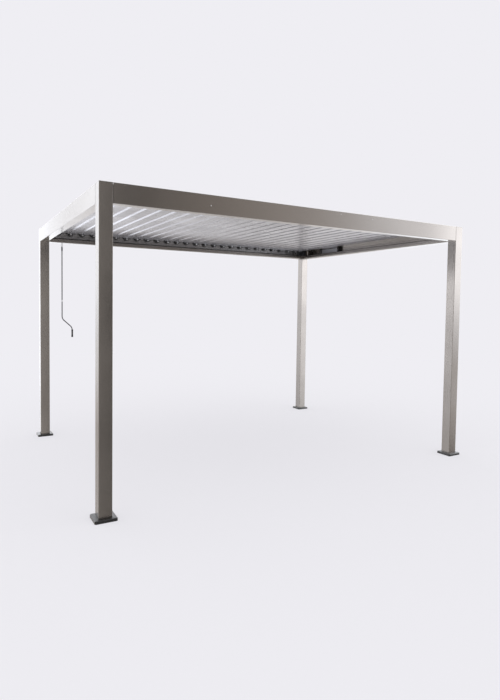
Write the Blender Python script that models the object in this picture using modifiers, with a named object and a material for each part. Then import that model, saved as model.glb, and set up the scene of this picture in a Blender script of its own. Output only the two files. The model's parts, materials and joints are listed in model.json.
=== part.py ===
# Louvred garden pergola, free standing on four posts.
# Metres, +Z up, +X along the long front beam, +Y from the front to the back.
# The origin is on the floor at the middle of the footprint.
from math import cos, hypot, pi, sin

import bmesh
import bpy
from mathutils import Matrix, Vector

# Overall size, over the posts
LENGTH = 4.0
DEPTH = 3.0
HEIGHT = 2.55

# Clearances
SEAT = 0.0003
RUN = 0.0005

# Posts on welded floor plates, their top caps and foot covers
POST = 0.105
POST_WALL = 0.002
PLATE_GAP = 0.009
PLATE_THICK = 0.006
CAP_PLATE = 0.0027
CAP_PLUG = 0.012
CAP_CHAMFER = 0.0012
COVER = 0.176
COVER_HEIGHT = 0.025
COVER_WALL = 0.004
COVER_CORNER = 0.012
COVER_CHAMFER = 0.006

# Gutter beams
BEAM_HEIGHT = 0.155
BEAM_WIDTH = 0.088
BEAM_WALL = 0.0025
LIP_HEIGHT = 0.046
LIP_RETURN = 0.007
TOP_RETURN = 0.015

# Pivot rails in the front and back beams
RAIL_SETBACK = 0.018
RAIL_WALL = 0.003
RAIL_BOTTOM = 0.057
RAIL_TOP = 0.140

# Louvres, in a section seen from the front with the pivot at zero
PITCH = 0.1425
PIVOT_HEIGHT = 0.108
BLADE_LEFT = 0.059
BLADE_UNDERSIDE = 0.010
BLADE_THICK = 0.021
BLADE_FALL = 0.002
BLADE_WALL = 0.002
FLANK_WIDTH = 0.015
FLANK_HEIGHT = 0.011
SLOT = 0.009
TROUGH = 0.0185
TROUGH_LIP = 0.014
HOOK_DROP = 0.013
HOOK_GAP = 0.0075
END_GAP = 0.0055
END_CAP = 0.004
CAP_PROUD = 0.0008
VENT = 0.009
LUG_LEFT = 0.036
LUG_RIGHT = 0.022
LUG_DROP = 0.020
LUG_SLOPE = 0.009
LUG_ROOT = 0.001

# Pins, eight sided, and the link bar that ties the louvres together
PIN_SIDES = 8
PIN_RADIUS = 0.004
PIN_HEAD_RADIUS = 0.006
PIN_HEAD = 0.003
PIN_PAST = 0.005
LINK_ARM = 0.027
LINK_HEIGHT = 0.016
LINK_THICK = 0.003
LINK_GAP = 0.006
LINK_PAST = 0.001
LINK_END = 0.015

# Gearbox in the back gutter, with the eye below it
GEAR_SIDE = 0.022
GEAR_DEPTH = 0.054
GEAR_ABOVE = 0.024
GEAR_BELOW = 0.083
GEAR_EDGE = 0.005
SHAFT_OFFSET = 0.046
SHAFT_RADIUS = 0.006
SHAFT_DEPTH = 0.020
EYE_RADIUS = 0.0105
EYE_WIRE = 0.0025
EYE_DROP = 0.023

# Crank that hooks into the eye
HOOK_WIRE = 0.0025
HOOK_HALF = 0.0075
SLEEVE_RADIUS = 0.009
SLEEVE_LENGTH = 0.052
SLEEVE_DROP = 0.0095
ROD_RADIUS = 0.0065
ROD_STRAIGHT = 0.850
ROD_OFFSET = 0.123
ROD_OFFSET_DROP = 0.112
ROD_BEND = 0.035
ROD_END = 0.122
GRIP_LENGTH = 0.096
GRIP_RADIUS = 0.012
GRIP_WAIST = 0.0105

# Flashing strips along the side beams, and the brackets that hold them
STRIP_WALL = 0.002
STRIP_FLANGE = 0.028
STRIP_SWING = 0.010
CLIP_WIDTH = 0.036
CLIP_HEIGHT = 0.070
CLIP_DEPTH = 0.042
CLIP_EDGE = 0.003
CLIP_PLACES = (1.008, 0.598)
CHANNEL_DEPTH = 0.028
CHANNEL_WALL = 0.002
CHANNEL_STEP = 0.005

# Corner connectors: a block behind the lips, and a tab down the post's inner corner
CONNECTOR_LONG = 0.058
CONNECTOR_SHORT = 0.060
CONNECTOR_THICK = 0.022
TAB_THICK = 0.018
TAB_LIFT = 0.005

# Levels and planes that follow from the sizes
HALF_LENGTH = LENGTH / 2
HALF_DEPTH = DEPTH / 2
POST_X = HALF_LENGTH - POST / 2
POST_Y = HALF_DEPTH - POST / 2
INNER_X = HALF_LENGTH - POST
INNER_Y = HALF_DEPTH - POST
BEAM_BOTTOM = HEIGHT - BEAM_HEIGHT
LIP_X = HALF_LENGTH - BEAM_WIDTH
LIP_Y = HALF_DEPTH - BEAM_WIDTH
PIVOT_Z = BEAM_BOTTOM + PIVOT_HEIGHT
WEB_Y = LIP_Y + RAIL_SETBACK
BLADE_TOP = BLADE_UNDERSIDE + BLADE_THICK
TROUGH_EDGE = PITCH - BLADE_LEFT - SLOT
BLADE_RIGHT = TROUGH_EDGE - TROUGH
BLADE_HALF = LIP_Y - END_GAP - END_CAP / 2
COUNT = int(2 * LIP_X / PITCH)
FIRST_PIVOT = -(COUNT - 1) * PITCH / 2
GEAR_Y = WEB_Y + RAIL_WALL + SEAT + GEAR_DEPTH / 2
SHAFT_X = FIRST_PIVOT + SHAFT_OFFSET
EYE_Z = BEAM_BOTTOM - EYE_DROP
HANG_Z = EYE_Z - EYE_RADIUS
LINK_Y = LIP_Y - END_GAP + LINK_GAP + LINK_THICK / 2


def make_material(name, colour, roughness, metallic):
    """A Principled material with one flat colour."""
    material = bpy.data.materials.new(name)
    material.use_nodes = True
    shader = material.node_tree.nodes["Principled BSDF"]
    shader.inputs["Base Color"].default_value = (*colour, 1.0)
    shader.inputs["Roughness"].default_value = roughness
    shader.inputs["Metallic"].default_value = metallic
    material.diffuse_color = (*colour, 1.0)
    return material


def clear_scene():
    """Remove every object, so that the script starts from nothing."""
    for thing in list(bpy.data.objects):
        bpy.data.objects.remove(thing, do_unlink=True)


def new_collection(name):
    collection = bpy.data.collections.new(name)
    bpy.context.scene.collection.children.link(collection)
    return collection


clear_scene()
PERGOLA = new_collection("pergola")
CUTTERS = new_collection("cutters")

COAT = make_material("taupe_coat", (0.26, 0.235, 0.215), 0.35, 0.55)
SLAT = make_material("slat_grey", (0.52, 0.52, 0.55), 0.30, 0.45)
BLACK = make_material("black_plastic", (0.018, 0.018, 0.02), 0.5, 0.0)
FOOT = make_material("foot_grey", (0.075, 0.075, 0.08), 0.5, 0.0)
STEEL = make_material("zinc_steel", (0.55, 0.55, 0.56), 0.35, 0.9)
ROD = make_material("rod_grey", (0.42, 0.42, 0.43), 0.35, 0.6)


def place(thing, collection, location=None, material=None):
    """Keep an object in one collection only, with its place and its material."""
    for owner in list(thing.users_collection):
        owner.objects.unlink(thing)
    collection.objects.link(thing)
    if location is not None:
        thing.location = location
    if material is not None:
        thing.data.materials.clear()
        thing.data.materials.append(material)
    return thing


def as_cutter(thing):
    place(thing, CUTTERS)
    thing.hide_render = True
    thing.display_type = "WIRE"
    return thing


def boolean(thing, other, operation):
    """Cut or join with the exact solver."""
    modifier = thing.modifiers.new(operation.lower(), "BOOLEAN")
    modifier.operation = operation
    modifier.solver = "EXACT"
    modifier.object = other
    return thing


def box(name, low, high):
    """A box between two corners, with its origin at its middle."""
    low, high = Vector(low), Vector(high)
    bpy.ops.mesh.primitive_cube_add(size=1, location=(low + high) / 2)
    thing = bpy.context.object
    thing.name = name
    thing.data.transform(Matrix.Diagonal((*(high - low), 1)))
    return thing


def cylinder_mesh(name, radius, length, axis, sides, low_end):
    """A closed cylinder mesh along an axis, from low_end on."""
    turn = {
        "X": Matrix.Rotation(pi / 2, 4, "Y"),
        "Y": Matrix.Rotation(-pi / 2, 4, "X"),
        "Z": Matrix.Identity(4),
    }[axis]
    build = bmesh.new()
    bmesh.ops.create_cone(
        build, cap_ends=True, segments=sides, radius1=radius, radius2=radius, depth=length,
        matrix=Matrix.Translation(low_end) @ turn @ Matrix.Translation((0, 0, length / 2)),
    )
    mesh = bpy.data.meshes.new(name)
    build.to_mesh(mesh)
    build.free()
    return mesh


def merged(name, meshes):
    """One mesh holding several closed shells."""
    build = bmesh.new()
    for mesh in meshes:
        build.from_mesh(mesh)
    mesh = bpy.data.meshes.new(name)
    build.to_mesh(mesh)
    build.free()
    return mesh


def settled_mesh(thing, name):
    """The mesh of an object as its modifiers leave it, welded."""
    bpy.context.view_layer.update()
    evaluated = thing.evaluated_get(bpy.context.evaluated_depsgraph_get())
    mesh = bpy.data.meshes.new_from_object(evaluated)
    mesh.name = name
    build = bmesh.new()
    build.from_mesh(mesh)
    bmesh.ops.remove_doubles(build, verts=build.verts, dist=1e-6)
    bmesh.ops.recalc_face_normals(build, faces=build.faces)
    build.to_mesh(mesh)
    build.free()
    return mesh


def from_curve(curve, name, matrix=None):
    """A mesh object made from a curve, whose caps are welded on."""
    thing = bpy.data.objects.new(name, curve)
    PERGOLA.objects.link(thing)
    mesh = settled_mesh(thing, name)
    bpy.data.objects.remove(thing, do_unlink=True)
    bpy.data.curves.remove(curve)
    if matrix is not None:
        mesh.transform(matrix)
    return bpy.data.objects.new(name, mesh)


def extrusion(name, loops, length, axis):
    """An outline with its holes, drawn out evenly both ways along an axis.

    Along Y the outline is X and Z, along X it is Y and Z, and along Z it is X and Y.
    """
    curve = bpy.data.curves.new(name, "CURVE")
    curve.dimensions = "2D"
    curve.fill_mode = "BOTH"
    curve.extrude = length / 2
    for loop in loops:
        spline = curve.splines.new("POLY")
        spline.points.add(len(loop) - 1)
        for point, (across, up) in zip(spline.points, loop):
            point.co = (across, up, 0, 1)
        spline.use_cyclic_u = True
    turn = {
        "X": Matrix.Rotation(pi / 2, 4, "Z") @ Matrix.Rotation(pi / 2, 4, "X"),
        "Y": Matrix.Rotation(pi / 2, 4, "X"),
        "Z": Matrix.Identity(4),
    }[axis]
    return from_curve(curve, name, turn)


def rectangle(left, bottom, right, top):
    return [(left, bottom), (right, bottom), (right, top), (left, top)]


def rounded_square(side, corner, steps):
    """A square outline about zero with its corners as arcs."""
    middle = side / 2 - corner
    points = []
    for quarter, (across, up) in enumerate([(1, 1), (-1, 1), (-1, -1), (1, -1)]):
        for step in range(steps + 1):
            angle = pi / 2 * (quarter + step / steps)
            points.append((across * middle + corner * cos(angle), up * middle + corner * sin(angle)))
    return points


def bent_path(corners, radius, steps):
    """Points along straight runs, with an arc at each corner between them."""
    path = [Vector(corners[0])]
    for before, corner, after in zip(corners, corners[1:], corners[2:]):
        corner = Vector(corner)
        back = (Vector(before) - corner).normalized()
        ahead = (Vector(after) - corner).normalized()
        half = back.angle(ahead) / 2
        centre = corner + (back + ahead).normalized() * radius / sin(half)
        reach = radius * cos(half) / sin(half)
        start = (corner + back * reach - centre).normalized()
        end = (corner + ahead * reach - centre).normalized()
        for step in range(steps + 1):
            path.append(centre + radius * start.slerp(end, step / steps))
    path.append(Vector(corners[-1]))
    return path


def tube(name, path, radius, resolution):
    """A round bar along a path of points."""
    curve = bpy.data.curves.new(name, "CURVE")
    curve.dimensions = "3D"
    curve.bevel_depth = radius
    curve.bevel_resolution = resolution
    curve.use_fill_caps = True
    spline = curve.splines.new("POLY")
    spline.points.add(len(path) - 1)
    for point, place_of in zip(spline.points, path):
        point.co = (*place_of, 1)
    return from_curve(curve, name)


def corners():
    """The four corners, as a name and two signs."""
    return [
        ("front_left", -1, -1),
        ("front_right", 1, -1),
        ("back_left", -1, 1),
        ("back_right", 1, 1),
    ]


def build_posts():
    """Four square tubes, each welded to a floor plate and open at the top."""
    foot = PLATE_THICK / 2
    length = HEIGHT - CAP_PLATE - SEAT - foot
    half, hole = POST / 2, POST / 2 - POST_WALL
    plate = COVER / 2 - COVER_WALL - PLATE_GAP
    loops = [rectangle(-half, -half, half, half), rectangle(-hole, -hole, hole, hole)]
    post = place(extrusion("post", loops, length, "Z"), PERGOLA)
    post.data.transform(Matrix.Translation((0, 0, foot + length / 2)))
    base = as_cutter(box("floor_plate", (-plate, -plate, 0), (plate, plate, PLATE_THICK)))
    boolean(post, base, "UNION")
    shared = settled_mesh(post, "post")
    bpy.data.objects.remove(post, do_unlink=True)
    for name, side_x, side_y in corners():
        post = bpy.data.objects.new("post_" + name, shared)
        place(post, PERGOLA, (side_x * POST_X, side_y * POST_Y, 0), COAT)


def build_post_caps():
    """Flat caps, each with a plug that drops into its post."""
    half, plug = POST / 2, POST / 2 - POST_WALL - SEAT
    top = place(box("cap", (-half, -half, 0), (half, half, CAP_PLATE)), PERGOLA)
    bevel = top.modifiers.new("edge", "BEVEL")
    bevel.width = CAP_CHAMFER
    bevel.segments = 1
    boolean(top, as_cutter(box("cap_plug", (-plug, -plug, -CAP_PLUG), (plug, plug, CAP_PLATE / 2))), "UNION")
    shared = settled_mesh(top, "post_cap")
    bpy.data.objects.remove(top, do_unlink=True)
    shared.transform(Matrix.Translation((0, 0, CAP_PLATE / 2)))
    for name, side_x, side_y in corners():
        cap = bpy.data.objects.new("post_cap_" + name, shared)
        place(cap, PERGOLA, (side_x * POST_X, side_y * POST_Y, HEIGHT - CAP_PLATE), COAT)


def build_foot_covers():
    """Low covers with a rounded outline, slid down over the posts to hide the floor plates."""
    cover = extrusion("cover", [rounded_square(COVER, COVER_CORNER, 3)], COVER_HEIGHT, "Z")
    place(cover, PERGOLA)
    cover.data.transform(Matrix.Translation((0, 0, COVER_HEIGHT / 2)))
    bevel = cover.modifiers.new("top_edge", "BEVEL")
    bevel.width = COVER_CHAMFER
    bevel.segments = 1
    bevel.limit_method = "WEIGHT"
    weights = cover.data.attributes.new("bevel_weight_edge", "FLOAT", "EDGE")
    for edge in cover.data.edges:
        ends = [cover.data.vertices[index].co.z for index in edge.vertices]
        weights.data[edge.index].value = float(min(ends) > COVER_HEIGHT / 2)
    hollow, opening = COVER / 2 - COVER_WALL, POST / 2 + SEAT
    inside = box("cover_inside", (-hollow, -hollow, -COVER_WALL), (hollow, hollow, COVER_HEIGHT - COVER_WALL))
    through = box("post_hole", (-opening, -opening, 0), (opening, opening, 2 * COVER_HEIGHT))
    boolean(cover, as_cutter(inside), "DIFFERENCE")
    boolean(cover, as_cutter(through), "DIFFERENCE")
    shared = settled_mesh(cover, "foot_cover")
    bpy.data.objects.remove(cover, do_unlink=True)
    for name, side_x, side_y in corners():
        copy = bpy.data.objects.new("foot_cover_" + name, shared)
        place(copy, PERGOLA, (side_x * POST_X, side_y * POST_Y, 0), FOOT)


def beam_outline(half_span, facing):
    """Section of a gutter beam: outer wall, floor and inner lip, each edge turned in.

    facing is 1 for the back and right beams and -1 for the front and left ones.
    """
    outer, inner = half_span, half_span - BEAM_WIDTH
    bottom, top = BEAM_BOTTOM, HEIGHT
    floor, lip = bottom + BEAM_WALL, bottom + LIP_HEIGHT
    outline = [
        (inner, bottom), (outer, bottom), (outer, top), (outer - TOP_RETURN, top),
        (outer - TOP_RETURN, top - BEAM_WALL), (outer - BEAM_WALL, top - BEAM_WALL),
        (outer - BEAM_WALL, floor), (inner + BEAM_WALL, floor),
        (inner + BEAM_WALL, lip - BEAM_WALL), (inner + LIP_RETURN, lip - BEAM_WALL),
        (inner + LIP_RETURN, lip), (inner, lip),
    ]
    return [(facing * across, up) for across, up in outline]


def build_beams():
    """Four gutter beams between the posts. The back one has a hole for the gear shaft."""
    long, short = 2 * (INNER_X - SEAT), 2 * (INNER_Y - SEAT)
    front = extrusion("beam_front", [beam_outline(HALF_DEPTH, -1)], long, "X")
    back = extrusion("beam_back", [beam_outline(HALF_DEPTH, 1)], long, "X")
    left = extrusion("beam_left", [beam_outline(HALF_LENGTH, -1)], short, "Y")
    right = extrusion("beam_right", [beam_outline(HALF_LENGTH, 1)], short, "Y")
    for beam in (front, back, left, right):
        place(beam, PERGOLA, material=COAT)
    hole = bpy.data.objects.new("shaft_hole", cylinder_mesh(
        "shaft_hole", SHAFT_RADIUS + 2 * RUN, 4 * BEAM_WALL, "Z", 16,
        (SHAFT_X, GEAR_Y, BEAM_BOTTOM - BEAM_WALL)))
    as_cutter(hole)
    boolean(back, hole, "DIFFERENCE")


def pivot_places():
    return [FIRST_PIVOT + index * PITCH for index in range(COUNT)]


def build_pivot_rails():
    """Angle rails that hang in the front and back beams, with a hole for every louvre pin."""
    wall = HALF_DEPTH - BEAM_WALL - SEAT
    low, high = BEAM_BOTTOM + RAIL_BOTTOM, BEAM_BOTTOM + RAIL_TOP
    outline = [
        (WEB_Y, low), (WEB_Y + RAIL_WALL, low), (WEB_Y + RAIL_WALL, high - RAIL_WALL),
        (wall, high - RAIL_WALL), (wall, high), (WEB_Y, high),
    ]
    for name, side in (("front", -1), ("back", 1)):
        loop = [(side * across, up) for across, up in outline]
        rail = extrusion("pivot_rail_" + name, [loop], 2 * (INNER_X - SEAT), "X")
        place(rail, PERGOLA, material=COAT)
        middle = side * (WEB_Y + RAIL_WALL / 2)
        holes = [
            cylinder_mesh("hole", PIN_RADIUS + RUN, 3 * RAIL_WALL, "Y", PIN_SIDES,
                          (across, middle - 1.5 * RAIL_WALL, PIVOT_Z))
            for across in pivot_places()
        ]
        cutter = bpy.data.objects.new("pin_holes_" + name, merged("pin_holes_" + name, holes))
        boolean(rail, as_cutter(cutter), "DIFFERENCE")


def blade_loops():
    """Section of a louvre: a hollow body with a trough on its right, and a flank and a hook on its left.

    The inner face of the flank lies one wall inside the outer one.
    """
    top_left, top_right = BLADE_TOP + BLADE_FALL, BLADE_TOP
    tip = PITCH - TROUGH_EDGE + BLADE_WALL + HOOK_GAP
    outer = [
        (-BLADE_LEFT + FLANK_WIDTH, BLADE_UNDERSIDE),
        (TROUGH_EDGE, BLADE_UNDERSIDE),
        (TROUGH_EDGE, BLADE_UNDERSIDE + TROUGH_LIP),
        (TROUGH_EDGE - BLADE_WALL, BLADE_UNDERSIDE + TROUGH_LIP),
        (TROUGH_EDGE - BLADE_WALL, BLADE_UNDERSIDE + BLADE_WALL),
        (BLADE_RIGHT, BLADE_UNDERSIDE + BLADE_WALL),
        (BLADE_RIGHT, top_right),
        (-tip - BLADE_WALL, top_left),
        (-tip - BLADE_WALL, top_left - BLADE_WALL - HOOK_DROP),
        (-tip, top_left - BLADE_WALL - HOOK_DROP),
        (-tip, top_left - BLADE_WALL),
        (-BLADE_LEFT, top_left - BLADE_WALL),
        (-BLADE_LEFT, BLADE_UNDERSIDE + FLANK_HEIGHT),
    ]
    left, right = -BLADE_LEFT + BLADE_WALL, BLADE_RIGHT - BLADE_WALL
    floor = BLADE_UNDERSIDE + BLADE_WALL
    reach = 1 + BLADE_WALL * hypot(1 / FLANK_WIDTH, 1 / FLANK_HEIGHT)
    fall = BLADE_FALL * (left + tip + BLADE_WALL) / (BLADE_RIGHT + tip + BLADE_WALL)
    inner = [
        (-BLADE_LEFT + FLANK_WIDTH * (reach - BLADE_WALL / FLANK_HEIGHT), floor),
        (right, floor),
        (right, top_right - BLADE_WALL),
        (left, top_left - fall - BLADE_WALL),
        (left, BLADE_UNDERSIDE + FLANK_HEIGHT * (reach - BLADE_WALL / FLANK_WIDTH)),
    ]
    return outer, inner


def end_cap_loops():
    """Outline of an end cap, with the lug that holds the pivot pin, and a vent into the hollow."""
    under, top = BLADE_UNDERSIDE - CAP_PROUD, BLADE_TOP + CAP_PROUD
    left, right = -BLADE_LEFT - CAP_PROUD, BLADE_RIGHT + CAP_PROUD
    outline = [
        (left + FLANK_WIDTH, under), (-LUG_LEFT, under - LUG_ROOT),
        (-LUG_LEFT + LUG_SLOPE, -LUG_DROP + LUG_SLOPE), (-LUG_LEFT + 2 * LUG_SLOPE, -LUG_DROP),
        (LUG_RIGHT - LUG_SLOPE, -LUG_DROP), (LUG_RIGHT, -LUG_DROP + LUG_SLOPE),
        (LUG_RIGHT, under - LUG_ROOT), (right, under), (right, top), (left, top), (left, under + FLANK_HEIGHT),
    ]
    middle = BLADE_UNDERSIDE + BLADE_THICK / 2
    vent = rectangle(VENT, middle - VENT / 2, 3 * VENT, middle + VENT / 2)
    return outline, vent


def end_operands(side):
    """The end cap and the pins at one end of a louvre, to be joined to its blade."""
    near = LIP_Y - END_GAP - END_CAP
    far = near + END_CAP
    overlap = END_CAP / 4
    rods = [
        ("pin_head", PIN_HEAD_RADIUS, near - PIN_HEAD, near + overlap, 0, 0),
        ("pivot_pin", PIN_RADIUS, far - overlap, WEB_Y + RAIL_WALL + PIN_PAST, 0, 0),
    ]
    if side > 0:
        end = LINK_Y + LINK_THICK / 2 + LINK_PAST
        rods.append(("link_pin", PIN_RADIUS, far - overlap, end, -LINK_ARM, LINK_ARM))
    cap = extrusion("end_cap", end_cap_loops(), END_CAP, "Y")
    cap.data.transform(Matrix.Translation((0, side * (near + far) / 2, 0)))
    operands = [cap]
    for name, radius, start, end, across, up in rods:
        low = min(side * start, side * end)
        mesh = cylinder_mesh(name, radius, end - start, "Y", PIN_SIDES, (across, low, up))
        operands.append(bpy.data.objects.new(name, mesh))
    return operands


def build_louvres():
    """The row of louvres. Each turns on its own pins, and its origin is on that axis."""
    blade = place(extrusion("blade", blade_loops(), 2 * BLADE_HALF, "Y"), PERGOLA)
    operands = end_operands(-1) + end_operands(1)
    for operand in operands:
        boolean(blade, as_cutter(operand), "UNION")
    shared = settled_mesh(blade, "louvre")
    for thing in [blade, *operands]:
        bpy.data.objects.remove(thing, do_unlink=True)
    for index, across in enumerate(pivot_places()):
        louvre = bpy.data.objects.new("louvre_%02d" % (index + 1), shared)
        place(louvre, PERGOLA, (across, 0, PIVOT_Z), SLAT)


def build_link_bar():
    """Flat bar on the louvres' second pins, which turns them all together."""
    places = pivot_places()
    middle_z = PIVOT_Z + LINK_ARM
    half = LINK_HEIGHT / 2
    start, end = places[0] - LINK_ARM - LINK_END, places[-1] - LINK_ARM + LINK_END
    bar = box("link_bar", (start, LINK_Y - LINK_THICK / 2, middle_z - half),
              (end, LINK_Y + LINK_THICK / 2, middle_z + half))
    place(bar, PERGOLA, material=STEEL)
    holes = [
        cylinder_mesh("hole", PIN_RADIUS + RUN, 3 * LINK_THICK, "Y", PIN_SIDES,
                      (across - LINK_ARM, LINK_Y - 1.5 * LINK_THICK, middle_z))
        for across in places
    ]
    cutter = bpy.data.objects.new("link_holes", merged("link_holes", holes))
    boolean(bar, as_cutter(cutter), "DIFFERENCE")


def build_gearbox():
    """Worm gearbox on the back rail. The first louvre's pin enters it, and the eye's shaft."""
    low = (FIRST_PIVOT - GEAR_SIDE, GEAR_Y - GEAR_DEPTH / 2, PIVOT_Z - GEAR_BELOW)
    high = (SHAFT_X + GEAR_SIDE, GEAR_Y + GEAR_DEPTH / 2, PIVOT_Z + GEAR_ABOVE)
    gearbox = box("gearbox", low, high)
    place(gearbox, PERGOLA, material=BLACK)
    bevel = gearbox.modifiers.new("edges", "BEVEL")
    bevel.width = GEAR_EDGE
    bevel.segments = 2
    pin = cylinder_mesh("pin", PIN_RADIUS + RUN, 2 * PIN_PAST + RAIL_WALL, "Y", PIN_SIDES,
                        (FIRST_PIVOT, WEB_Y, PIVOT_Z))
    bore = cylinder_mesh("bore", SHAFT_RADIUS + RUN, 2 * SHAFT_DEPTH, "Z", 16,
                         (SHAFT_X, GEAR_Y, low[2] - SHAFT_DEPTH + RUN))
    cutter = bpy.data.objects.new("gear_bores", merged("gear_bores", [pin, bore]))
    boolean(gearbox, as_cutter(cutter), "DIFFERENCE")


def build_gear_eye():
    """The gear's shaft, down through the gutter floor, with a ring on its end."""
    bpy.ops.mesh.primitive_torus_add(
        major_radius=EYE_RADIUS, minor_radius=EYE_WIRE, major_segments=18, minor_segments=8,
        location=(SHAFT_X, GEAR_Y, EYE_Z), rotation=(pi / 2, 0, 0),
    )
    eye = bpy.context.object
    eye.name = "gear_eye"
    place(eye, PERGOLA, (SHAFT_X, GEAR_Y, EYE_Z), STEEL)
    low = EYE_Z + EYE_RADIUS
    high = PIVOT_Z - GEAR_BELOW + SHAFT_DEPTH - RUN
    shaft = cylinder_mesh("shaft", SHAFT_RADIUS, high - low, "Z", 16, (SHAFT_X, GEAR_Y, low))
    boolean(eye, as_cutter(bpy.data.objects.new("gear_shaft", shaft)), "UNION")


def crank_corners():
    """The rod's line from the sleeve down to its end, relative to the hook's axis."""
    start = -SLEEVE_DROP - SLEEVE_LENGTH - SEAT
    bend = -SLEEVE_DROP - SLEEVE_LENGTH - ROD_STRAIGHT
    below = bend - ROD_OFFSET_DROP
    return [(0, 0, start), (0, 0, bend), (ROD_OFFSET, 0, below), (ROD_OFFSET, 0, below - ROD_END)]


def build_crank():
    """Crank hanging in the eye: hook and sleeve, bent rod, and a grip that turns on it."""
    hang = bpy.data.objects.new("crank_tilt", None)
    place(hang, PERGOLA, (SHAFT_X, GEAR_Y, HANG_Z))
    rise = EYE_WIRE + HOOK_WIRE + SEAT
    arc = [
        (0, HOOK_HALF * cos(pi * step / 8), rise - HOOK_HALF + HOOK_HALF * sin(pi * step / 8))
        for step in range(9)
    ]
    foot = -SLEEVE_DROP - SLEEVE_LENGTH / 4
    path = [(0, HOOK_HALF, foot), *arc, (0, -HOOK_HALF, foot)]
    wire = as_cutter(tube("hook_wire", path, HOOK_WIRE, 1))
    wire.parent = hang
    sleeve = bpy.data.objects.new("crank_hook", cylinder_mesh(
        "crank_hook", SLEEVE_RADIUS, SLEEVE_LENGTH, "Z", 16, (0, 0, -SLEEVE_DROP - SLEEVE_LENGTH)))
    place(sleeve, PERGOLA, material=BLACK)
    sleeve.parent = hang
    boolean(sleeve, wire, "UNION")
    line = crank_corners()
    rod = tube("crank_rod", bent_path(line, ROD_BEND, 4), ROD_RADIUS, 2)
    place(rod, PERGOLA, material=ROD)
    rod.parent = hang
    grip = grip_object()
    place(grip, PERGOLA, (line[-1][0], 0, line[-1][2] + SEAT), BLACK)
    grip.parent = hang


def grip_object():
    """A turned grip with a through bore, its waist a little slimmer than its ends."""
    bore = ROD_RADIUS + RUN
    edge = GRIP_RADIUS - GRIP_WAIST
    profile = [
        (bore, GRIP_LENGTH), (GRIP_RADIUS - edge, GRIP_LENGTH), (GRIP_RADIUS, GRIP_LENGTH - edge),
        (GRIP_WAIST, GRIP_LENGTH / 2), (GRIP_RADIUS, edge), (GRIP_RADIUS - edge, 0), (bore, 0),
    ]
    mesh = bpy.data.meshes.new("crank_grip")
    build = bmesh.new()
    ring = [build.verts.new((radius, 0, height)) for radius, height in profile]
    for start, end in zip(ring, ring[1:] + ring[:1]):
        build.edges.new((start, end))
    build.to_mesh(mesh)
    build.free()
    grip = bpy.data.objects.new("crank_grip", mesh)
    screw = grip.modifiers.new("turn", "SCREW")
    screw.steps = 20
    screw.render_steps = 20
    screw.use_merge_vertices = True
    screw.merge_threshold = 0.00001
    screw.use_smooth_shade = False
    return grip


def build_side_strips():
    """Flashing that closes the roof to the side beams: a trough on the left, a hook on the right."""
    wall = HALF_LENGTH - BEAM_WALL - SEAT
    under, top = PIVOT_Z + BLADE_UNDERSIDE, PIVOT_Z + BLADE_TOP + BLADE_FALL
    length = 2 * (INNER_Y - SEAT)
    edge = FIRST_PIVOT - PITCH + TROUGH_EDGE
    left = [
        (-wall, under), (edge, under), (edge, under + TROUGH_LIP),
        (edge - STRIP_WALL, under + TROUGH_LIP), (edge - STRIP_WALL, under + STRIP_WALL),
        (-wall + STRIP_WALL, under + STRIP_WALL), (-wall + STRIP_WALL, under + STRIP_FLANGE),
        (-wall, under + STRIP_FLANGE),
    ]
    last = -FIRST_PIVOT
    body = last + TROUGH_EDGE + STRIP_SWING
    tip = last + TROUGH_EDGE - BLADE_WALL - HOOK_GAP + 0.5 * BLADE_WALL
    right = [
        (body, under), (wall, under), (wall, under + STRIP_FLANGE),
        (wall - STRIP_WALL, under + STRIP_FLANGE), (wall - STRIP_WALL, under + STRIP_WALL),
        (body + STRIP_WALL, under + STRIP_WALL), (body + STRIP_WALL, top), (tip - STRIP_WALL, top),
        (tip - STRIP_WALL, top - STRIP_WALL - HOOK_DROP), (tip, top - STRIP_WALL - HOOK_DROP),
        (tip, top - STRIP_WALL), (body, top - STRIP_WALL),
    ]
    for name, loop in (("left", left), ("right", right)):
        place(extrusion("side_strip_" + name, [loop], length, "Y"), PERGOLA, material=COAT)


def build_side_brackets():
    """Brackets on the side beams that hold the flashing up: a channel with a moulded block on each end."""
    wall = HALF_LENGTH - BEAM_WALL - SEAT
    top = PIVOT_Z + BLADE_UNDERSIDE - SEAT
    low = top - CLIP_HEIGHT
    face, inside = wall - CHANNEL_DEPTH, wall - CHANNEL_DEPTH + CHANNEL_WALL
    bottom, head = low + CHANNEL_STEP, top - CHANNEL_STEP
    outline = [
        (wall, bottom), (face, bottom), (face, head), (wall, head),
        (wall, head - CHANNEL_WALL), (inside, head - CHANNEL_WALL),
        (inside, bottom + CHANNEL_WALL), (wall, bottom + CHANNEL_WALL),
    ]
    first, last = min(CLIP_PLACES), max(CLIP_PLACES)
    for name, side in (("left", -1), ("right", 1)):
        loop = [(side * across, up) for across, up in outline]
        channel = extrusion("side_bracket_" + name, [loop], last - first, "Y")
        place(channel, PERGOLA, (0, (first + last) / 2, 0), BLACK)
        near, far = sorted((side * (wall - CLIP_DEPTH), side * wall))
        for along in CLIP_PLACES:
            block = box("bracket_block", (near, along - CLIP_WIDTH / 2, low), (far, along + CLIP_WIDTH / 2, top))
            bevel = block.modifiers.new("edges", "BEVEL")
            bevel.width = CLIP_EDGE
            bevel.segments = 1
            boolean(channel, as_cutter(block), "UNION")


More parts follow.
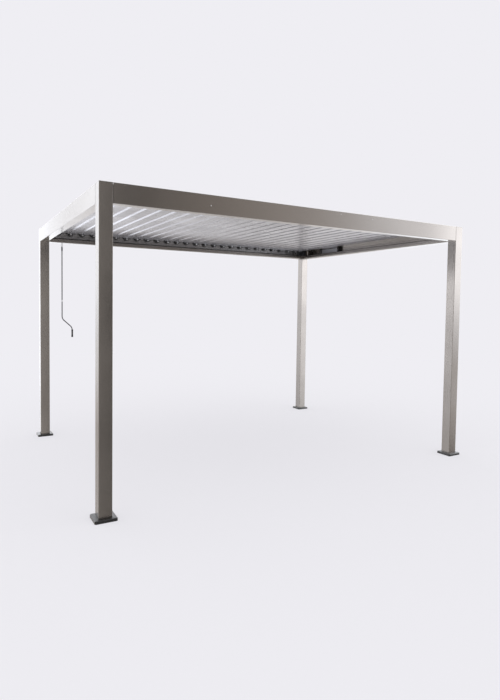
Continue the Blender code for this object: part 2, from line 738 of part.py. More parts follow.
def build_corner_connectors():
    """Black blocks that wrap each post's inner corner.

    The block fills the recess above both lips, up to the flashing. A slimmer tab runs down between the lips' ends.
    """
    near_x, near_y = INNER_X - SEAT, INNER_Y - SEAT
    lip_x, lip_y = LIP_X - SEAT, LIP_Y - SEAT
    deep_x, deep_y = LIP_X + RAIL_SETBACK - SEAT, LIP_Y + RAIL_SETBACK - SEAT
    left = near_x - CONNECTOR_THICK
    outline = [
        (near_x - CONNECTOR_LONG, deep_y), (near_x - CONNECTOR_LONG, LIP_Y + SEAT), (left, LIP_Y + SEAT),
        (left, near_y - CONNECTOR_SHORT), (deep_x, near_y - CONNECTOR_SHORT), (deep_x, near_y),
        (near_x, near_y), (near_x, deep_y),
    ]
    tab = [
        (near_x - TAB_THICK, lip_y), (near_x - TAB_THICK, near_y - TAB_THICK), (lip_x, near_y - TAB_THICK),
        (lip_x, near_y), (near_x, near_y), (near_x, lip_y),
    ]
    low, high = BEAM_BOTTOM + LIP_HEIGHT + SEAT, PIVOT_Z + BLADE_UNDERSIDE - SEAT
    tab_low, tab_high = BEAM_BOTTOM + TAB_LIFT, (low + high) / 2
    for name, side_x, side_y in corners():
        loop = [(side_x * across, side_y * along) for across, along in outline]
        block = extrusion("corner_connector_" + name, [loop], high - low, "Z")
        place(block, PERGOLA, (0, 0, (low + high) / 2), BLACK)
        loop = [(side_x * across, side_y * along) for across, along in tab]
        slim = extrusion("connector_tab", [loop], tab_high - tab_low, "Z")
        slim.location = (0, 0, (tab_low + tab_high) / 2)
        boolean(block, as_cutter(slim), "UNION")


build_posts()
build_post_caps()
build_foot_covers()
build_beams()
build_pivot_rails()
build_louvres()
build_link_bar()
build_gearbox()
build_gear_eye()
build_crank()
build_side_strips()
build_side_brackets()
build_corner_connectors()
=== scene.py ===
"""Looks of a louvred garden pergola: its fine surfaces and finishes, and the studio and camera round it.

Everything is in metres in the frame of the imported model: +X along the long front beam, +Y from the front to the
back and +Z up, with the origin on the floor at the middle of the footprint.
"""
import json
import logging
import math
from dataclasses import dataclass
from enum import Enum

import bpy
import numpy as np
from mathutils import Matrix, Vector

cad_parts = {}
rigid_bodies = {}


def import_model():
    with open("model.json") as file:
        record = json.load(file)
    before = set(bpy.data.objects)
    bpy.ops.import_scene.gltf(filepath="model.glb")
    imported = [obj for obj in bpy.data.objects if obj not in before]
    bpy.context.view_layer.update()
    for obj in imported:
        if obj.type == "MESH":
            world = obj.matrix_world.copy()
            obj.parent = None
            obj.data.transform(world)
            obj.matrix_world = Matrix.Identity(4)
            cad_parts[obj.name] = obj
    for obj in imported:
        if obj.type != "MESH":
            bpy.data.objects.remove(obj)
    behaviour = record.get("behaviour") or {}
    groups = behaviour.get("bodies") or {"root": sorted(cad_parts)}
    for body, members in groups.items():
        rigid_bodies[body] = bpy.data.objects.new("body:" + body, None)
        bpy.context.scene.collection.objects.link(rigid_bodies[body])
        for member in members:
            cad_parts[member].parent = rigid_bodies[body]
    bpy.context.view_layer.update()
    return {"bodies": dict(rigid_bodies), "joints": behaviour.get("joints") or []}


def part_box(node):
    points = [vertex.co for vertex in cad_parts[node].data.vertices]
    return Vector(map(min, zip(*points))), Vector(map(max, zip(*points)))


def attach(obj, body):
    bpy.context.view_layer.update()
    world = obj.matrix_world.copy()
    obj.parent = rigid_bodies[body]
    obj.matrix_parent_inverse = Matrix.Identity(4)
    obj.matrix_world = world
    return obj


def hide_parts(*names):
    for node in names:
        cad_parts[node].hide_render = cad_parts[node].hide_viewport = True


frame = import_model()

LOG = logging.getLogger("pergola")
TAU = 2 * math.pi
# Clearance between pieces that seat on each other, and the depth to which shells of one piece run into each other.
SEAT = 0.0003
OVERLAP = 0.001
# Length of the short straight beside an arc that keeps small flats flat in shading, and the same on a rounded end
# edge as a multiple of its radius.
FINE_LEAD = 0.0002
EDGE_LEAD = 1.1
# Edges that turn by more degrees than this are sharp.
CREASE = 32.0
BLADES = [body for body in frame["bodies"] if body.startswith("louvre")]
CORNERS = {"front_left": (-1, -1), "front_right": (1, -1), "back_left": (-1, 1), "back_right": (1, 1)}

Pair = tuple[float, float]
Pairs = tuple[Pair, ...]
Triple = tuple[float, float, float]
Socket = bpy.types.NodeSocket


class Axis(Enum):
    """The direction a section is drawn out along. The value is the place of that coordinate in a point."""

    X = 0
    Y = 1
    Z = 2


class Grain(Enum):
    """The fine texture of a finish."""

    POWDER = "sprayed and baked powder"
    DRAWN = "faint lines along an extrusion"
    MOULDED = "eroded mould texture"
    ZINC = "zinc crystals"
    RUBBER = "plain rubber"


def span(node: str) -> tuple[np.ndarray, np.ndarray]:
    """Lowest and highest corner of a node of the frame.

    Args:
        node: The node's name.

    Returns:
        Two points, as arrays of three.
    """
    low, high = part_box(node)
    return np.array(low, float), np.array(high, float)


def joint_place(joint: str) -> np.ndarray:
    """The point that a joint turns about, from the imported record.

    Args:
        joint: The joint's name.

    Returns:
        The point, as an array of three.
    """
    return np.array(next(entry["pos_m"] for entry in frame["joints"] if entry["name"] == joint), float)


def laid(section: np.ndarray, along: np.ndarray | float, axis: Axis) -> np.ndarray:
    """Place section coordinates in space, with a third coordinate along the axis.

    Args:
        section: Pairs (..., 2) in the order of the two other axes.
        along: The coordinate along the axis, of a shape that fits the pairs.
        axis: The axis that the section is drawn out along.

    Returns:
        Points (..., 3).
    """
    parts = [section[..., 0], section[..., 1]]
    parts.insert(axis.value, np.broadcast_to(along, section.shape[:-1]))
    return np.stack(parts, axis=-1)


def across(point: np.ndarray, axis: Axis) -> np.ndarray:
    """The two coordinates of a point that lie across the axis."""
    return np.delete(np.asarray(point, float), axis.value)


def unit(vectors: np.ndarray) -> np.ndarray:
    """Vectors of length one."""
    return vectors / np.linalg.norm(vectors, axis=-1, keepdims=True)


def left_of(vectors: np.ndarray) -> np.ndarray:
    """Pairs turned a quarter turn to the left."""
    return np.stack([-vectors[..., 1], vectors[..., 0]], axis=-1)


@dataclass
class Arcs:
    """Arcs that round the corners of a flat line.

    At a corner with unit directions back and ahead to its neighbours, the arc of radius r has its centre on the
    bisector at r / sin(half the corner angle), and it touches both sides at r / tan(half the corner angle).
    """

    corner: np.ndarray
    back: np.ndarray
    ahead: np.ndarray
    radius: np.ndarray
    steps: int = 5
    lead: float = 0.0005

    def __post_init__(self) -> None:
        """Work out centres, reaches and angles for all the corners at once."""
        half = np.arccos(np.clip(np.sum(self.back * self.ahead, axis=1), -1, 1)) / 2
        self.radius = np.broadcast_to(self.radius, len(self.corner)).astype(float)
        self.reach = self.radius / np.tan(half)
        self.centre = self.corner + unit(self.back + self.ahead) * (self.radius / np.sin(half))[:, None]
        start = self.corner + self.back * self.reach[:, None] - self.centre
        end = self.corner + self.ahead * self.reach[:, None] - self.centre
        first = np.arctan2(start[:, 1], start[:, 0])
        turn = (np.arctan2(end[:, 1], end[:, 0]) - first + math.pi) % TAU - math.pi
        self.angle = first[:, None] + turn[:, None] * np.linspace(0, 1, self.steps + 1)
        self.side = np.sign(turn)

    def points(self, offset: float = 0.0) -> np.ndarray:
        """The arcs, with a lead point on the straight either side, moved to the left by an offset.

        Args:
            offset: The distance to the left of the direction of travel.

        Returns:
            Points (n, 2).
        """
        radius = self.radius - offset * self.side
        circle = np.stack([np.cos(self.angle), np.sin(self.angle)], axis=-1)
        arc = self.centre[:, None] + radius[:, None, None] * circle
        reach = (self.reach + self.lead)[:, None]
        before = self.corner + self.back * reach + offset * left_of(-self.back)
        after = self.corner + self.ahead * reach + offset * left_of(self.ahead)
        return np.concatenate([before[:, None], arc, after[:, None]], axis=1).reshape(-1, 2)


def rounded(corners: list | np.ndarray, radius: float | list, steps: int = 5, lead: float = 0.0005) -> np.ndarray:
    """A closed outline whose corners are arcs.

    Args:
        corners: The corner points, in order.
        radius: One radius, or one for each corner.
        steps: Facets in each arc.
        lead: Distance of the lead points that keep the flats flat in shading.

    Returns:
        Points (n, 2).
    """
    points = np.asarray(corners, float)
    back, ahead = unit(np.roll(points, 1, 0) - points), unit(np.roll(points, -1, 0) - points)
    return Arcs(points, back, ahead, np.asarray(radius, float), steps, lead).points()


def rounded_line(corners: list | np.ndarray, radius: float | list, steps: int = 5, offset: float = 0.0) -> np.ndarray:
    """An open line whose inner corners are arcs, moved to its left by an offset.

    Args:
        corners: The corner points, in order.
        radius: The radius on the line itself, or one for each inner corner.
        steps: Facets in each arc.
        offset: Distance to the left of the direction of travel.

    Returns:
        Points (n, 2).
    """
    points = np.asarray(corners, float)
    inner = points[1:-1]
    back, ahead = unit(points[:-2] - inner), unit(points[2:] - inner)
    arcs = Arcs(inner, back, ahead, np.asarray(radius, float), steps)
    start = points[0] + offset * left_of(-back[0])
    end = points[-1] + offset * left_of(ahead[-1])
    return np.vstack([start, arcs.points(offset), end])


def folded(corners: list, thickness: float, bend: float | list) -> np.ndarray:
    """The closed section of a sheet of even thickness, folded along a line.

    Args:
        corners: Corner points of the line at the middle of the sheet.
        thickness: The sheet's thickness.
        bend: Radius of the folds at the middle of the sheet, or one for each fold.

    Returns:
        Points (n, 2): one side out, the other side back.
    """
    left, right = (rounded_line(corners, bend, offset=offset) for offset in (thickness / 2, -thickness / 2))
    return np.vstack([left, right[::-1]])


def rectangle(low: np.ndarray, high: np.ndarray) -> list:
    """The corners of a rectangle between two points."""
    return [(low[0], low[1]), (high[0], low[1]), (high[0], high[1]), (low[0], high[1])]


def shrunk(outline: np.ndarray, amount: np.ndarray | float) -> np.ndarray:
    """A closed outline moved inwards.

    Each point moves at right angles to the line between its neighbours, towards the inside.

    Args:
        outline: Points (n, 2).
        amount: One distance, or several for several outlines.

    Returns:
        Points (n, 2), or (m, n, 2) for several distances.
    """
    tangent = unit(np.roll(outline, -1, 0) - np.roll(outline, 1, 0))
    area = np.sum(outline[:, 0] * np.roll(outline[:, 1], -1) - outline[:, 1] * np.roll(outline[:, 0], -1))
    inwards = left_of(tangent) * np.sign(area)
    return outline + np.asarray(amount, float)[..., None, None] * inwards


@dataclass
class Shell:
    """A surface as points, with the faces that join them as flat arrays."""

    points: np.ndarray
    corners: np.ndarray
    sizes: np.ndarray

    @classmethod
    def stacked(cls, rings: np.ndarray, capped: bool = True) -> "Shell":
        """A closed surface through a stack of closed rings.

        Args:
            rings: Points (stations, n, 3).
            capped: True closes both ends with a face. False joins the last ring to the first.

        Returns:
            The shell, facing outwards.
        """
        stations, count = rings.shape[:2]
        index = np.arange(stations * count).reshape(stations, count)
        rows = index if capped else np.vstack([index, index[:1]])
        rows = np.hstack([rows, rows[:, :1]])
        quads = np.stack([rows[:-1, :-1], rows[:-1, 1:], rows[1:, 1:], rows[1:, :-1]], axis=-1).reshape(-1, 4)
        corners, sizes = quads.ravel(), np.full(len(quads), 4)
        if capped:
            corners = np.concatenate([corners, index[0, ::-1], index[-1]])
            sizes = np.concatenate([sizes, [count, count]])
        return cls(rings.reshape(-1, 3), corners, sizes).outwards()

    def outwards(self) -> "Shell":
        """The same shell with its faces outwards.

        The volume is the sum over fan triangles of a . (b x c) / 6, and it is negative for an inside-out shell.

        Returns:
            The shell itself.
        """
        starts = np.repeat(np.cumsum(self.sizes) - self.sizes, self.sizes - 2)
        fan = np.arange(len(starts)) - np.repeat(np.cumsum(self.sizes - 2) - (self.sizes - 2), self.sizes - 2)
        a, b, c = (self.points[self.corners[starts + step]] for step in (0 * fan, fan + 1, fan + 2))
        if np.sum(a * np.cross(b, c)) < 0:
            self.corners = self.corners[::-1].copy()
            self.sizes = self.sizes[::-1].copy()
        return self

    def moved(self, step: np.ndarray | tuple) -> "Shell":
        """A copy at another place."""
        return Shell(self.points + np.asarray(step, float), self.corners, self.sizes)

    def copies(self, steps: np.ndarray) -> "Shell":
        """Copies at several places, as one shell.

        Args:
            steps: The moves (m, 3).

        Returns:
            One shell with all the copies.
        """
        count = len(steps)
        points = (self.points[None] + np.asarray(steps, float)[:, None]).reshape(-1, 3)
        shift = np.arange(count)[:, None] * len(self.points)
        return Shell(points, (self.corners[None] + shift).ravel(), np.tile(self.sizes, count))


def joined(shells: list[Shell]) -> Shell:
    """Several shells as one.

    Args:
        shells: The shells.

    Returns:
        One shell, with the corner numbers of each moved up by the points before it.
    """
    shift = np.cumsum([0] + [len(shell.points) for shell in shells[:-1]])
    return Shell(
        np.vstack([shell.points for shell in shells]),
        np.concatenate([shell.corners + start for shell, start in zip(shells, shift)]),
        np.concatenate([shell.sizes for shell in shells]),
    )


def prism(outline: np.ndarray, axis: Axis, start: float, end: float, edge: float = 0.0, steps: int = 3) -> Shell:
    """An outline drawn out along an axis, with its end edges rounded over.

    Near each end the outline shrinks by edge * (1 - sin a) while it stands back by edge * (1 - cos a), a quarter
    circle in the angle a.

    Args:
        outline: Points (n, 2).
        axis: The direction it is drawn out along.
        start: Coordinate of the first end.
        end: Coordinate of the last end.
        edge: Radius of the rounded end edges, or 0 for sharp ones.
        steps: Facets in each rounded edge.

    Returns:
        The closed shell.
    """
    if edge == 0:
        return Shell.stacked(np.stack([laid(outline, start, axis), laid(outline, end, axis)]))
    angle = np.linspace(0, math.pi / 2, steps + 1)
    inset, back = edge * (1 - np.sin(angle)), edge * (1 - np.cos(angle))
    lead = edge * EDGE_LEAD
    insets = np.concatenate([inset, [0, 0], inset[::-1]])
    places = np.concatenate([start + back, [start + lead, end - lead], end - back[::-1]])
    return Shell.stacked(laid(shrunk(outline, insets), places[:, None], axis))


def block(low: np.ndarray | tuple, high: np.ndarray | tuple, corner: float, edge: float, axis: Axis) -> Shell:
    """A box with rounded corners across an axis and rounded end edges.

    Args:
        low: Lowest corner.
        high: Highest corner.
        corner: Radius of the four edges along the axis.
        edge: Radius of the edges of both ends.
        axis: The axis.

    Returns:
        The closed shell.
    """
    outline = rounded(rectangle(across(low, axis), across(high, axis)), corner, steps=4)
    return prism(outline, axis, low[axis.value], high[axis.value], edge)


def turned(profile: list | np.ndarray, centre: np.ndarray, axis: Axis, sides: int = 20) -> Shell:
    """A turned shape: a profile of radius and height carried round an axis.

    A point is centre + height * axis + radius * (cos t, sin t) across it, with t from 0 to a full turn.

    Args:
        profile: Pairs of radius and height (n, 2). Both ends are closed flat.
        centre: Point at height zero.
        axis: The axis.
        sides: Facets round the axis.

    Returns:
        The closed shell.
    """
    profile = np.asarray(profile, float)
    turn = np.arange(sides) * TAU / sides
    circle = np.stack([np.cos(turn), np.sin(turn)], axis=-1)
    section = across(centre, axis) + profile[:, 0, None, None] * circle
    return Shell.stacked(laid(section, (centre[axis.value] + profile[:, 1])[:, None], axis))


def ring(centre: np.ndarray, axis: Axis, radius: float, wire: float, around: int = 32, sides: int = 10) -> Shell:
    """A closed ring of round wire: a small circle carried round a large one.

    Args:
        centre: The ring's centre.
        axis: The axis of the large circle.
        radius: Radius of the large circle.
        wire: Radius of the wire.
        around: Facets round the large circle.
        sides: Facets round the wire.

    Returns:
        The closed shell.
    """
    big, small = np.arange(around) * TAU / around, np.arange(sides) * TAU / sides
    reach = radius + wire * np.cos(small)[None, :, None]
    circle = np.stack([np.cos(big), np.sin(big)], axis=-1)[:, None]
    along = centre[axis.value] + wire * np.sin(small)[None]
    return Shell.stacked(laid(across(centre, axis) + reach * circle, along, axis), capped=False)


def rod(path: np.ndarray, radius: float, side_axis: Axis, sides: int = 16) -> Shell:
    """A round bar along a path that lies in a plane, with its ends closed.

    At each path point the circle stands on the normal (side axis x tangent) and on the side axis.

    Args:
        path: Points (n, 3) in a plane across the side axis.
        radius: The bar's radius.
        side_axis: The axis across the plane.
        sides: Facets round the bar.

    Returns:
        The closed shell.
    """
    out = np.eye(3)[side_axis.value]
    tangent = unit(np.gradient(path, axis=0))
    normal = unit(np.cross(out, tangent))
    turn = np.arange(sides) * TAU / sides
    circle = np.cos(turn)[None, :, None] * normal[:, None] + np.sin(turn)[None, :, None] * out
    return Shell.stacked(path[:, None] + radius * circle)


class Graph:
    """Short hand for building a node tree."""

    def __init__(self, tree: bpy.types.NodeTree) -> None:
        """Keep the tree, emptied."""
        self.tree = tree
        tree.nodes.clear()

    def node(self, kind: str, inputs: dict | None = None, **settings: object) -> bpy.types.Node:
        """Add a node.

        Args:
            kind: The node's type.
            inputs: Input sockets by name or number, each with a value or a socket to link from.
            **settings: Properties of the node.

        Returns:
            The node.
        """
        made = self.tree.nodes.new(kind)
        for key, value in settings.items():
            setattr(made, key, value)
        for key, value in (inputs or {}).items():
            if isinstance(value, Socket):
                self.tree.links.new(value, made.inputs[key])
            else:
                made.inputs[key].default_value = value
        return made

    def maths(self, operation: str, *values: object) -> Socket:
        """The result of one arithmetic step on numbers or sockets."""
        return self.node("ShaderNodeMath", dict(enumerate(values)), operation=operation).outputs[0]

    def smooth(self, value: Socket, low: float, high: float, start: float = 0.0, end: float = 1.0) -> Socket:
        """A smooth step from start to end, as the value goes from low to high."""
        inputs = {"Value": value, "From Min": low, "From Max": high, "To Min": start, "To Max": end}
        return self.node("ShaderNodeMapRange", inputs, interpolation_type="SMOOTHSTEP").outputs["Result"]

    def tint(self, factor: Socket, first: tuple, second: tuple) -> Socket:
        """A colour between two. The sockets go by number, because a Mix node has several of each name.

        Args:
            factor: 0 for the first colour, 1 for the second.
            first: The first colour.
            second: The second colour.

        Returns:
            The colour.
        """
        inputs = {0: factor, 6: (*first, 1.0), 7: (*second, 1.0)}
        return self.node("ShaderNodeMix", inputs, data_type="RGBA").outputs[2]

    def blend(self, first: Socket, second: Socket, share: float) -> Socket:
        """Two values added up, the second one times a share and the first one times the rest."""
        parts = (self.maths("MULTIPLY", value, weight) for value, weight in ((first, 1 - share), (second, share)))
        return self.maths("ADD", *parts)


def new_material(name: str) -> tuple[bpy.types.Material, Graph]:
    """A new material, and the graph that fills its empty node tree.

    Args:
        name: The material's name.

    Returns:
        The material and its graph.
    """
    material = bpy.data.materials.new(name)
    material.use_nodes = True
    return material, Graph(material.node_tree)


@dataclass(frozen=True)
class Finish:
    """A surface finish: colour, gloss and fine texture.

    The cell is the size of the fine texture and the cloud that of the broad one. Both together, with the cloud's
    share, are stretched over the contrast range, and they shift the colour by the mottle and the roughness by the
    spread. Lengths are in metres.
    """

    name: str
    slot: str
    colour: Triple
    grain: Grain
    roughness: float
    metallic: float
    coat: float = 0.0
    mottle: float = 0.05
    spread: float = 0.05
    cell: float = 0.0006
    relief: float = 0.00002
    cloud: float = 0.45
    cloud_share: float = 0.55
    contrast: Pair = (0.3, 0.7)
    coat_roughness: float = 0.15
    peel: float = 5.0
    peel_share: float = 0.6
    stretch: float = 0.012

    def shade(self, amount: float) -> Triple:
        """The colour made darker or lighter by a share."""
        return tuple(min(1.0, channel * (1 + amount)) for channel in self.colour)

    def fine(self, graph: Graph, place: Socket, run: Axis) -> Socket:
        """The fine texture as a height from 0 to 1.

        Powder is two sizes of noise. Drawn metal is noise stretched along the run. Mould texture and zinc are
        rounded cells. Rubber is one soft noise.

        Args:
            graph: The node tree.
            place: The point on the surface.
            run: The direction in which the piece was drawn.

        Returns:
            The height.
        """
        scale = 1 / self.cell
        if self.grain is Grain.DRAWN:
            scales = [1.0, 1.0, 1.0]
            scales[run.value] = self.stretch
            place = graph.node("ShaderNodeMapping", {"Vector": place, "Scale": scales}).outputs[0]
        if self.grain in (Grain.MOULDED, Grain.ZINC):
            cells = graph.node("ShaderNodeTexVoronoi", {"Vector": place, "Scale": scale}, feature="SMOOTH_F1")
            return cells.outputs["Distance"]
        noise = graph.node("ShaderNodeTexNoise", {"Vector": place, "Scale": scale, "Detail": 2.0})
        if self.grain is Grain.POWDER:
            peel = graph.node("ShaderNodeTexNoise", {"Vector": place, "Scale": scale / self.peel, "Detail": 1.0})
            return graph.blend(noise.outputs[0], peel.outputs[0], self.peel_share)
        return noise.outputs[0]

    def material(self, run: Axis = Axis.Z) -> bpy.types.Material:
        """The material of this finish, made once for each run.

        Args:
            run: The direction in which the piece was drawn.

        Returns:
            The material.
        """
        name = f"{self.name}_{run.name.lower()}"
        if name in bpy.data.materials:
            return bpy.data.materials[name]
        material, graph = new_material(name)
        place = graph.node("ShaderNodeTexCoord").outputs["Object"]
        fine = self.fine(graph, place, run)
        inputs = {"Vector": place, "Scale": 1 / self.cloud, "Detail": 3.0}
        cloud = graph.node("ShaderNodeTexNoise", inputs).outputs[0]
        blend = graph.blend(fine, cloud, self.cloud_share)
        colour = graph.tint(graph.smooth(blend, *self.contrast), self.shade(-self.mottle), self.shade(self.mottle))
        rough = graph.smooth(blend, *self.contrast, self.roughness + self.spread, self.roughness - self.spread)
        bump = graph.node("ShaderNodeBump", {"Height": fine, "Distance": self.relief, "Strength": 1.0})
        shader = graph.node("ShaderNodeBsdfPrincipled", {
            "Base Color": colour, "Roughness": rough, "Normal": bump.outputs[0], "Metallic": self.metallic,
            "Coat Weight": self.coat, "Coat Roughness": self.coat_roughness,
        })
        graph.node("ShaderNodeOutputMaterial", {"Surface": shader.outputs[0]})
        return material


COAT = Finish("taupe_coat", "taupe_coat", (0.262, 0.24, 0.222), Grain.POWDER, 0.23, 0.9, coat=0.6)
SLAT = Finish("slat_coat", "slat_grey", (0.525, 0.527, 0.56), Grain.DRAWN, 0.28, 0.75, mottle=0.03, cell=0.004,
              relief=0.00001)
# The blades' slat grey darkened to about 0.6 of it: painted shade for the bracket channel, which stands in the gutter
# under the roof.
SHADED_CHANNEL = Finish("channel_painted_shade", "slat_grey", (0.32, 0.32, 0.345), Grain.DRAWN, 0.36, 0.75, mottle=0.04, cell=0.004,
                 relief=0.00001)
RAIL = Finish("rail_coat", "taupe_coat", (0.25, 0.245, 0.245), Grain.POWDER, 0.25, 0.85, coat=0.5, mottle=0.06)
MOULDING = Finish("black_moulding", "black_plastic", (0.018, 0.018, 0.02), Grain.MOULDED, 0.42, 0.0, mottle=0.15,
                  cell=0.0009)
FOOT = Finish("foot_moulding", "foot_grey", (0.010, 0.010, 0.011), Grain.MOULDED, 0.30, 0.0, coat=0.4,
              mottle=0.10, cell=0.0012, relief=0.00003)
SEAL = Finish("seal_rubber", "black_plastic", (0.012, 0.012, 0.013), Grain.RUBBER, 0.6, 0.0, mottle=0.2,
              cell=0.002)
ZINC = Finish("zinc_plate", "zinc_steel", (0.56, 0.56, 0.57), Grain.ZINC, 0.30, 1.0, mottle=0.12, cell=0.004,
              relief=0.000004)
PIN = Finish("pin_steel", "zinc_steel", (0.82, 0.82, 0.83), Grain.ZINC, 0.24, 1.0, mottle=0.06, cell=0.003,
             relief=0.000003)
ROD_COAT = Finish("rod_coat", "rod_grey", (0.10, 0.10, 0.106), Grain.POWDER, 0.30, 0.5, mottle=0.04, cell=0.0008)


def add_piece(name: str, shells: list[Shell], finish: Finish, body: str, run: Axis = Axis.Z,
              replaces: tuple[str, ...] = ()) -> None:
    """Put shells into one mesh object, dress it and let it ride on a body.

    Args:
        name: The piece's name.
        shells: Its closed shells.
        finish: Its finish.
        body: The body of the frame that it moves with.
        run: The direction in which it was drawn.
        replaces: Nodes of the frame that it stands for.
    """
    shell = joined(shells)
    mesh = bpy.data.meshes.new(name)
    mesh.vertices.add(len(shell.points))
    mesh.vertices.foreach_set("co", shell.points.astype(np.float32).ravel())
    mesh.loops.add(len(shell.corners))
    mesh.loops.foreach_set("vertex_index", shell.corners.astype(np.int32))
    mesh.polygons.add(len(shell.sizes))
    mesh.polygons.foreach_set("loop_start", (np.cumsum(shell.sizes) - shell.sizes).astype(np.int32))
    mesh.update(calc_edges=True)
    mesh.shade_smooth()
    mesh.set_sharp_from_angle(angle=math.radians(CREASE))
    mesh.materials.append(finish.material(run))
    piece = bpy.data.objects.new(name, mesh)
    bpy.context.scene.collection.objects.link(piece)
    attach(piece, body)
    if replaces:
        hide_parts(*replaces)
    LOG.info("%s: %d faces on %s", name, len(shell.sizes), body)


@dataclass
class Fastener:
    """A pan head screw, seen from its head.

    The head is turned: its height over the seat is rise * (1 - (r / radius) ** crown), and a round recess goes down
    in its middle by a share of the rise, while it narrows by the taper.
    """

    radius: float = 0.005
    rise: float = 0.0024
    recess: float = 0.0021
    crown: float = 2.4
    depth: float = 0.7
    taper: float = 0.92
    sink: float = 0.0004
    sides: int = 18
    rows: int = 6

    def shell(self, seat: np.ndarray, axis: Axis, facing: int) -> Shell:
        """One screw head.

        Args:
            seat: The middle of the seat.
            axis: The axis of the screw.
            facing: 1 or -1, the way the head faces along the axis.

        Returns:
            The closed shell.
        """
        reach = np.sin(np.linspace(math.pi / 2, math.asin(self.recess / self.radius), self.rows)) * self.radius
        height = self.rise * (1 - (reach / self.radius) ** self.crown)
        floor = height[-1] - self.depth * self.rise
        radii = np.concatenate([[self.radius], reach, [self.recess * self.taper, FINE_LEAD]])
        heights = np.concatenate([[-self.sink], height, [floor, floor - FINE_LEAD / 2]])
        return turned(np.stack([radii, facing * heights], axis=-1), seat, axis, self.sides)


@dataclass
class Posts:
    """Four square tubes with floor plates, top caps and foot covers."""

    wall: float = 0.002
    corner: float = 0.003
    plate: float = 0.006
    plate_corner: float = 0.006
    plate_edge: float = 0.0008
    cap_plate: float = 0.0027
    cap_edge: float = 0.0012
    plug_edge: float = 0.0006
    cover_corner: float = 0.014
    cover_edge: float = 0.007
    cover_wall: float = 0.004
    cover_fall: float = 0.0012
    cover_lip: float = 0.0006
    cover_crease: float = 0.003
    cover_rows: int = 7

    def build(self) -> None:
        """Make the pieces of every corner."""
        for name in CORNERS:
            self.tube(name)
            self.cap(name)
            self.cover(name)

    def tube(self, name: str) -> None:
        """A tube from its floor plate to under its cap.

        The tube's grid has the outline's parameter one way, and the other way goes up the outside and down the
        inside.

        Args:
            name: The post's corner.
        """
        cap_low, cap_high = span("post_cap_" + name)
        low, high = span("post_" + name)
        foot = self.plate - OVERLAP
        outer = rounded(rectangle(cap_low, cap_high), self.corner)
        inner = rounded(rectangle(cap_low + self.wall, cap_high - self.wall), self.corner - self.wall / 2)
        rings = np.stack([
            laid(outer, foot, Axis.Z), laid(outer, high[2], Axis.Z),
            laid(inner, high[2], Axis.Z), laid(inner, foot, Axis.Z),
        ])
        plate = block(low, (high[0], high[1], self.plate), self.plate_corner, self.plate_edge, Axis.Z)
        add_piece("tube_" + name, [Shell.stacked(rings, capped=False), plate], COAT, "frame", Axis.Z,
                  ("post_" + name,))

    def cap(self, name: str) -> None:
        """A flat cap with a rounded rim, on a plug that sits in the tube.

        Args:
            name: The post's corner.
        """
        low, high = span("post_cap_" + name)
        seat = high[2] - self.cap_plate
        top = block((low[0], low[1], seat), high, self.corner, self.cap_edge, Axis.Z)
        inset = self.wall + SEAT
        plug = block((low[0] + inset, low[1] + inset, low[2]), (high[0] - inset, high[1] - inset, seat + OVERLAP),
                     self.corner - self.wall / 2, self.plug_edge, Axis.Z)
        add_piece("cap_" + name, [top, plug], COAT, "frame", Axis.X, ("post_cap_" + name,))

    def cover(self, name: str) -> None:
        """A low moulded cover.

        Its section goes up the outside, over a quarter circle, in along a top that falls outwards a little, and
        back underneath. It is carried round a rounded square.

        Args:
            name: The post's corner.
        """
        low, high = span("foot_cover_" + name)
        cap_low, _ = span("post_cap_" + name)
        height, reach = high[2], cap_low[0] - low[0] - SEAT
        angle = np.linspace(0, math.pi / 2, self.cover_rows)
        shoulder, under = height - self.cover_fall, height - self.cover_wall
        edge, lip, crease = self.cover_edge, self.cover_lip, self.cover_crease
        inset = np.concatenate([
            [lip, 0, 0], edge * (1 - np.cos(angle)), [edge + OVERLAP, reach - 3 * lip],
            [reach - lip, reach, reach, self.cover_wall + crease, self.cover_wall, self.cover_wall],
        ])
        rise = np.concatenate([
            [0, lip, shoulder - edge - OVERLAP], shoulder - edge * (1 - np.sin(angle)),
            [shoulder, height - lip / 3], [height, height - lip, under], [under, under - crease, 0],
        ])
        corner = np.maximum(self.cover_corner - inset, OVERLAP)
        rings = [
            laid(rounded(rectangle(low + step, high - step), radius, steps=6, lead=FINE_LEAD), up, Axis.Z)
            for step, up, radius in zip(inset, rise, corner)
        ]
        add_piece("cover_" + name, [Shell.stacked(np.stack(rings), capped=False)], FOOT, "frame", Axis.Z,
                  ("foot_cover_" + name,))


